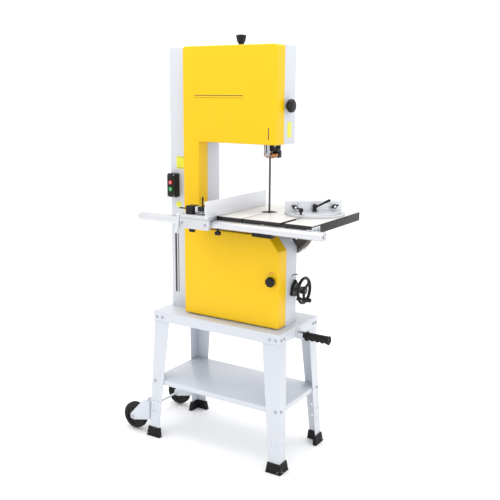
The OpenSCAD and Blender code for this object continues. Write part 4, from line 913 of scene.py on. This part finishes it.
solid.lathe(disc(12, motor.y1 - 3, motor.y1), to_motor, steps=40, soft=0.8)
for k in range(24):
    bar_turn = to_motor @ Matrix.Rotation(TAU * k / 24, 4, "Z")
    solid.box(10, 56, -1.3, 1.3, motor.y1 - 2.8, motor.y1 - 0.6, r=0.4, place=bar_turn)
for k in range(4):
    spot = to_motor @ turned(45 + 90 * k, "Z")
    solid.lathe(disc(4.4, 0, 2.4, 3.0), spot @ at(67.4, 0, motor.y1 - 32) @ ROT_TO_X
                @ at(0, 0, -0.8), mat=2, steps=6)
solid.box(mcx - 32, mcx + 32, 100, 180, mcz + 58, mcz + 90, r=4.0, seg=4)
solid.box(mcx - 33, mcx + 33, 99, 181, mcz + 87, mcz + 94, r=2.0)
for x, y in ((-26, 106), (26, 106), (-26, 174), (26, 174)):
    solid.lathe(disc(3.2, 0, 1.6, 2), at(mcx + x, y, mcz + 93.8) @ Matrix.Scale(0.98, 4), mat=2,
                steps=24)
gland = at(mcx + 32, 140, mcz + 78) @ ROT_TO_X
solid.lathe(disc(9.2, 0, 6), gland, mat=3, steps=6)
solid.lathe([(4.0, 6), (8.6, 6), (8.6, 13), (6.4, 17.6), (4.0, 18), (4.0, 6)], gland, mat=3, steps=40)
solid.box(motor.x0, -64, plate_y0, plate_y1, mcz - 76, mcz + 76, r=1.6)
for x in (motor.x0 + 12, -76):
    for z in (mcz - 64, mcz + 64):
        solid.lathe(disc(9, 0, 1.4), at(x, plate_y1, z) @ ROT_TO_Y, mat=2, steps=32)
        solid.lathe([(0, 1.4), (6.6, 1.4), (6.6, 6), (5.8, 6.8), (0, 6.8)], at(x, plate_y1, z) @ ROT_TO_Y,
                    mat=2, steps=6)
solid.box(-92, -76, hy - 9, plate_y0 + 2, hz - 9, hz + 9, r=1.2)
piece("motor_finned", "motor", solid, ["motor_paint", "painted_shade_inside", "zinc", "black_plastic"],
      stands_for=["motor"])

# ---------- dust port ----------
port = Span("dust_port")
solid = Solid()
to_port = at(port.cx, port.y0, port.cz) @ ROT_TO_Y
solid.lathe([(46, 0), (57, 0), (58, 1), (58, 3), (51.5, 3.4), (50, 5), (50, 30), (49.6, 34), (50, 36),
             (50, 48), (49, 50), (46.6, 50), (46, 48), (46, 0)], to_port, steps=96)
for k in range(12):
    rib = to_port @ Matrix.Rotation(TAU * k / 12, 4, "Z")
    solid.prism([(49, 2.5), (56.5, 2.5), (49.5, 14)], -1.0, 1.0, r=0.3,
                place=rib @ FACING_Y)
for k in range(4):
    spot = to_port @ turned(15 + 90 * k, "Z") @ at(54, 0, 2.8)
    solid.lathe(disc(3, 0, 1.4, 2), spot, mat=1, steps=24)
piece("dust_port_moulded", "frame", solid, ["black_plastic", "zinc"], stands_for=["dust_port"])


# ---------- bolts ----------
def hex_bolt(solid, place, r):
    """A flange bolt head standing on its seat."""
    solid.lathe([(0, 0), (r * 1.25, 0), (r * 1.25, 0.7), (r * 1.05, 1.0), (0, 1.0)], place, steps=32)
    solid.lathe([(0, 1.0), (r * 0.98, 1.0), (r * 0.98, 3.0), (r * 0.86, 3.6), (0, 3.6)], place, steps=6)


def islands(node):
    """The centre and thin direction of each separate solid of a CAD node."""
    bm = bmesh.new()
    bm.from_mesh(frame["nodes"][node].data)
    bmesh.ops.transform(bm, matrix=TO_MM, verts=bm.verts)
    bmesh.ops.remove_doubles(bm, verts=bm.verts, dist=WELD_GAP)
    seen, found = set(), []
    for v in bm.verts:
        if v in seen:
            continue
        group, stack = [], [v]
        seen.add(v)
        while stack:
            w = stack.pop()
            group.append(w)
            for e in w.link_edges:
                o = e.other_vert(w)
                if o not in seen:
                    seen.add(o)
                    stack.append(o)
        mid = sum((w.co for w in group), Vector()) / len(group)
        faces = {f for w in group for f in w.link_faces}
        top = max(faces, key=lambda f: f.calc_area())
        found.append((mid, top.normal.copy()))
    bm.free()
    return found


stand = Span("stand_top")
centre = Vector((stand.cx, stand.cy, 0))
solid = Solid()
for mid, n in islands("stand_bolts"):
    outward = Vector((mid.x - centre.x, mid.y - centre.y, 0))
    flat = Vector((n.x, n.y, 0))
    if flat.dot(outward) < 0:
        n = -n
    spin = n.to_track_quat("Z", "Y").to_matrix().to_4x4()
    hex_bolt(solid, Matrix.Translation(mid - n * 1.5) @ spin, 5.0)
piece("stand_hex_bolts", "frame", solid, ["zinc"], stands_for=["stand_bolts"])

# ---------- rubber feet ----------
SHOE_WALL = 17.0
# Each step of a shoe: its lower and upper height, and how far it stands in.
SHOE_STEPS = ((0, 7, 0.0), (6.5, 16, 1.6), (15.5, 25, 2.8), (24.5, 33, 3.8), (32.5, 42, 5.0))
solid = Solid()
feet = Span("rubber_feet")
foot_points = [TO_MM @ v.co for v in frame["nodes"]["rubber_feet"].data.vertices]
for sx in (-1, 1):
    for sy in (-1, 1):
        own = [q for q in foot_points if (q.x - feet.cx) * sx > 0 and (q.y - feet.cy) * sy > 0]
        fx0, fx1 = min(q.x for q in own), max(q.x for q in own)
        fy0, fy1 = min(q.y for q in own), max(q.y for q in own)
        wide, deep = fx1 - fx0, fy1 - fy0
        ox, oy = (fx1 if sx > 0 else fx0), (fy1 if sy > 0 else fy0)
        for z0, z1, inset in SHOE_STEPS:
            a, b, w = inset, wide - inset, SHOE_WALL - inset * 0.4
            c = deep - inset
            shoe = [(a, a), (b, a), (b, a + w), (a + w, a + w), (a + w, c), (a, c)]
            shoe = [(ox - sx * u, oy - sy * v) for u, v in shoe]
            solid.prism(shoe if sx * sy > 0 else shoe[::-1], z0, z1, r=1.2)
piece("rubber_shoes", "frame", solid, ["foot_rubber"], stands_for=["rubber_feet"])

# ---------- transport wheels ----------
for name in ("front", "rear"):
    span = Span(name + "_wheel")
    r = (span.z1 - span.z0) / 2
    y = span.cy
    to_tr = at(span.cx, y, span.cz) @ ROT_TO_Y
    solid = Solid()
    tread = [(r - 17, -13), (r - 8, -15), (r - 3, -13.5), (r - 0.8, -10), (r, -6), (r, -2.2), (r - 1.4, -1.6),
             (r - 1.4, 1.6), (r, 2.2), (r, 6), (r - 0.8, 10), (r - 3, 13.5), (r - 8, 15), (r - 17, 13),
             (r - 17, -13)]
    solid.lathe(tread, to_tr, steps=96)
    solid.lathe(hoop(16, r - 16.6, -8.5, 8.5), to_tr, mat=1, steps=72)
    solid.lathe(hoop(r - 20, r - 16.8, -12.6, 12.6), to_tr,
                mat=1, steps=72)
    solid.lathe([(5.1, -19), (14.5, -19), (16, -17.5), (16, 17.5), (14.5, 19), (5.1, 19), (5.1, -19)], to_tr,
                mat=1, steps=56)
    for k in range(6):
        web = to_tr @ turned(60 * k, "Z")
        solid.box(15, r - 18, -2.0, 2.0, -12.2, 12.2, r=0.8, mat=1, place=web)
    piece(name + "_castor", name + "_wheel", solid, ["foot_rubber", "black_plastic"],
          stands_for=[name + "_wheel"])

# ---------- lift handle ----------
grip = Span("lift_handle")
bracket = Span("lift_bracket")
to_fold = at(grip.x0 + 10, grip.cy, bracket.z0 + 11)
GRIP_R, LENGTH = 17.0, 122.0


def finger(a, r, x):
    """Four finger hollows along the underside of the grip."""
    if r < 12 or x < 28:
        return r
    under = max(0.0, math.cos(a)) ** 1.5
    wave = 0.5 + 0.5 * math.cos(TAU * (x - 38) / 22)
    end = min(1.0, (x - 27) / 4) * min(1.0, max(0.0, (LENGTH - 4 - x) / 5))
    side = 1 + 0.05 * abs(math.sin(a)) * end
    return r * side - 4.6 * under * wave * end


solid = Solid()
profile = [(0, 9)]
profile += [(9, 9), (9, 18), (17.5, 18), (19, 19.4), (19, 24.5), (17.5, 26), (15.6, 27)]
profile += [(GRIP_R - 0.4 + 0.4 * math.sin(k), 28 + k * 2) for k in range(45)]
profile += [(GRIP_R + 1.4, LENGTH - 4), (GRIP_R + 1.6, LENGTH - 1.4), (GRIP_R - 0.6, LENGTH), (9, LENGTH),
            (8, LENGTH - 2), (0, LENGTH - 2)]
solid.lathe(profile, to_fold @ ROT_TO_X, steps=64, shape=finger)
solid.lathe(hoop(4.1, 10, -13, 13), to_fold @ ROT_TO_Y,
            mat=1, steps=40)
piece("lift_grip", "lift_handle", solid, ["foot_rubber", "black_plastic"], stands_for=["lift_handle"])


# ---------- plain stickers and marks ----------
def patch(name, body, x0, x1, z0, z1, y, look, r=2.0, thick=0.35, border=None):
    solid = Solid()
    outline = rounded_loop([(x0, z0), (x1, z0), (x1, z1), (x0, z1)], [r] * 4, 4)
    up_y = Matrix(((1, 0, 0, 0), (0, 0, -1, y), (0, 1, 0, 0), (0, 0, 0, 1)))
    solid.prism(outline, 0, thick, r=0.1, place=up_y)
    if border:
        inner = rounded_loop([(x0 + 3, z0 + 3), (x1 - 3, z0 + 3), (x1 - 3, z0 + 4.4), (x0 + 3, z0 + 4.4)],
                             [0.3] * 4, 2)
        solid.prism(inner, thick, thick + 0.08, mat=1, place=up_y)
        inner = [(x, z1 - z0 - 7.4 + z) for x, z in inner]
        solid.prism(inner, thick, thick + 0.08, mat=1, place=up_y)
    return piece(name, body, solid, [look] + ([border] if border else []))


patch("spine_plain_patch", "frame", -434, -391, 1176, 1228, column.y0, "label_yellow", border="label_dark")
patch("spine_small_patch", "frame", -437, -411, 1014, 1036, column.y0, "label_yellow", r=3)
patch("spine_dark_stripe", "frame", -447, -437, 640, 900, column.y0, "label_dark", r=2)
patch("spine_thin_stripe", "frame", -431, -427, 640, 900, column.y0, "label_dark", r=1.5)
door_y = door_up.y0
patch("door_rule", "upper_door", -292, -62, 1478, 1480.6, door_y, "label_dark", r=1, thick=0.25)
patch("door_rule_low", "upper_door", -292, -62, 1470, 1471.2, door_y, "label_dark", r=0.5, thick=0.25)
patch("door_edge_mark", "upper_door", 50, 54, 1316, 1362, door_y, "label_dark", r=1.5, thick=0.25)


def arc_mark(name, body, radius, width, a0, a1, place, look, thick=0.3):
    n = 18
    outer = [(radius * math.cos(a0 + (a1 - a0) * k / n), radius * math.sin(a0 + (a1 - a0) * k / n))
             for k in range(n + 1)]
    inner = [(x * (radius - width) / radius, y * (radius - width) / radius) for x, y in outer]
    solid = Solid()
    solid.prism(outer + inner[::-1], 0, thick, r=0.08, place=place)
    return piece(name, body, solid, [look])


arc_mark("latch_turn_mark", "lower_door", 36, 3.0, math.radians(72), math.radians(118),
         at(latch_at, door_y, latch.cz) @ ROT_TO_FRONT, "label_red")
arc_mark("handwheel_turn_mark", "frame", 62, 5, math.radians(60), math.radians(112),
         at(lower_box.x1, hy, hz) @ FACING_X, "label_dark")

solid = Solid()
outline = rounded_loop([(-14, 1322), (18, 1322), (18, 1382), (-14, 1382)], [2] * 4, 4)
solid.prism(outline, upper_box.x1, upper_box.x1 + 0.35, r=0.1,
            place=FACING_X)
piece("side_plain_patch", "frame", solid, ["label_yellow"])

# ---------- insert screws ----------
solid = Solid()
for a in (35, 215):
    x, y = 27 * math.cos(math.radians(a)), 27 * math.sin(math.radians(a))
    solid.lathe([(0, -0.6), (1.4, -0.6), (1.4, 0.02), (3.2, 0.02), (3.2, -1.4), (0, -1.4)],
                at(x, y, tz - 0.1), steps=24)
piece("insert_screws", "table", solid, ["zinc"])

# ---------- axle nuts of the transport wheels ----------
brackets = Span("wheel_brackets")
solid = Solid()
for y, way in ((brackets.y0 + 5, ROT_TO_FRONT), (brackets.y1 - 5, ROT_TO_Y)):
    place = at(Span("front_wheel").cx, y, Span("front_wheel").cz) @ way
    solid.lathe(disc(9.5, 0, 1.4), place, steps=32)
    solid.lathe([(0, 1.4), (8, 1.4), (8, 5), (7, 5.8), (0, 5.8)], place, steps=6)
piece("axle_nuts", "frame", solid, ["zinc"])

# ---------- stage ----------
floor_mesh = bpy.data.meshes.new("floor")
floor_bm = bmesh.new()
bmesh.ops.create_grid(floor_bm, x_segments=2, y_segments=2, size=60.0)
floor_bm.to_mesh(floor_mesh)
floor_bm.free()
floor_look = material("floor_pale", (0.95, 0.95, 0.95), (0.75, 0.85), vary=0.004, grain=300, bump=0.02,
                      depth=0.05, specular=0.1)
floor_mesh.materials.append(floor_look)
floor = bpy.data.objects.new("floor", floor_mesh)
bpy.context.scene.collection.objects.link(floor)

world = bpy.data.worlds.new("studio")
bpy.context.scene.world = world
world.use_nodes = True
world.node_tree.nodes["Background"].inputs["Color"].default_value = (1, 1, 1, 1)
world.node_tree.nodes["Background"].inputs["Strength"].default_value = 1.2


def lamp(name, place, aim, size, power, tint=(1, 1, 1)):
    data = bpy.data.lights.new(name, "AREA")
    data.shape, data.size, data.energy, data.color = "DISK", size, power, tint
    obj = bpy.data.objects.new(name, data)
    obj.location = place
    obj.rotation_euler = (Vector(aim) - Vector(place)).to_track_quat("-Z", "Y").to_euler()
    bpy.context.scene.collection.objects.link(obj)
    return obj


lamp("key", (-0.6, -3.4, 3.0), (0, 0, 0.9), 2.6, 3)
lamp("fill", (3.4, -0.6, 1.6), (0, 0, 0.9), 2.6, 4)
lamp("top", (0.2, -0.2, 4.4), (0, 0, 0.8), 3.2, 75)
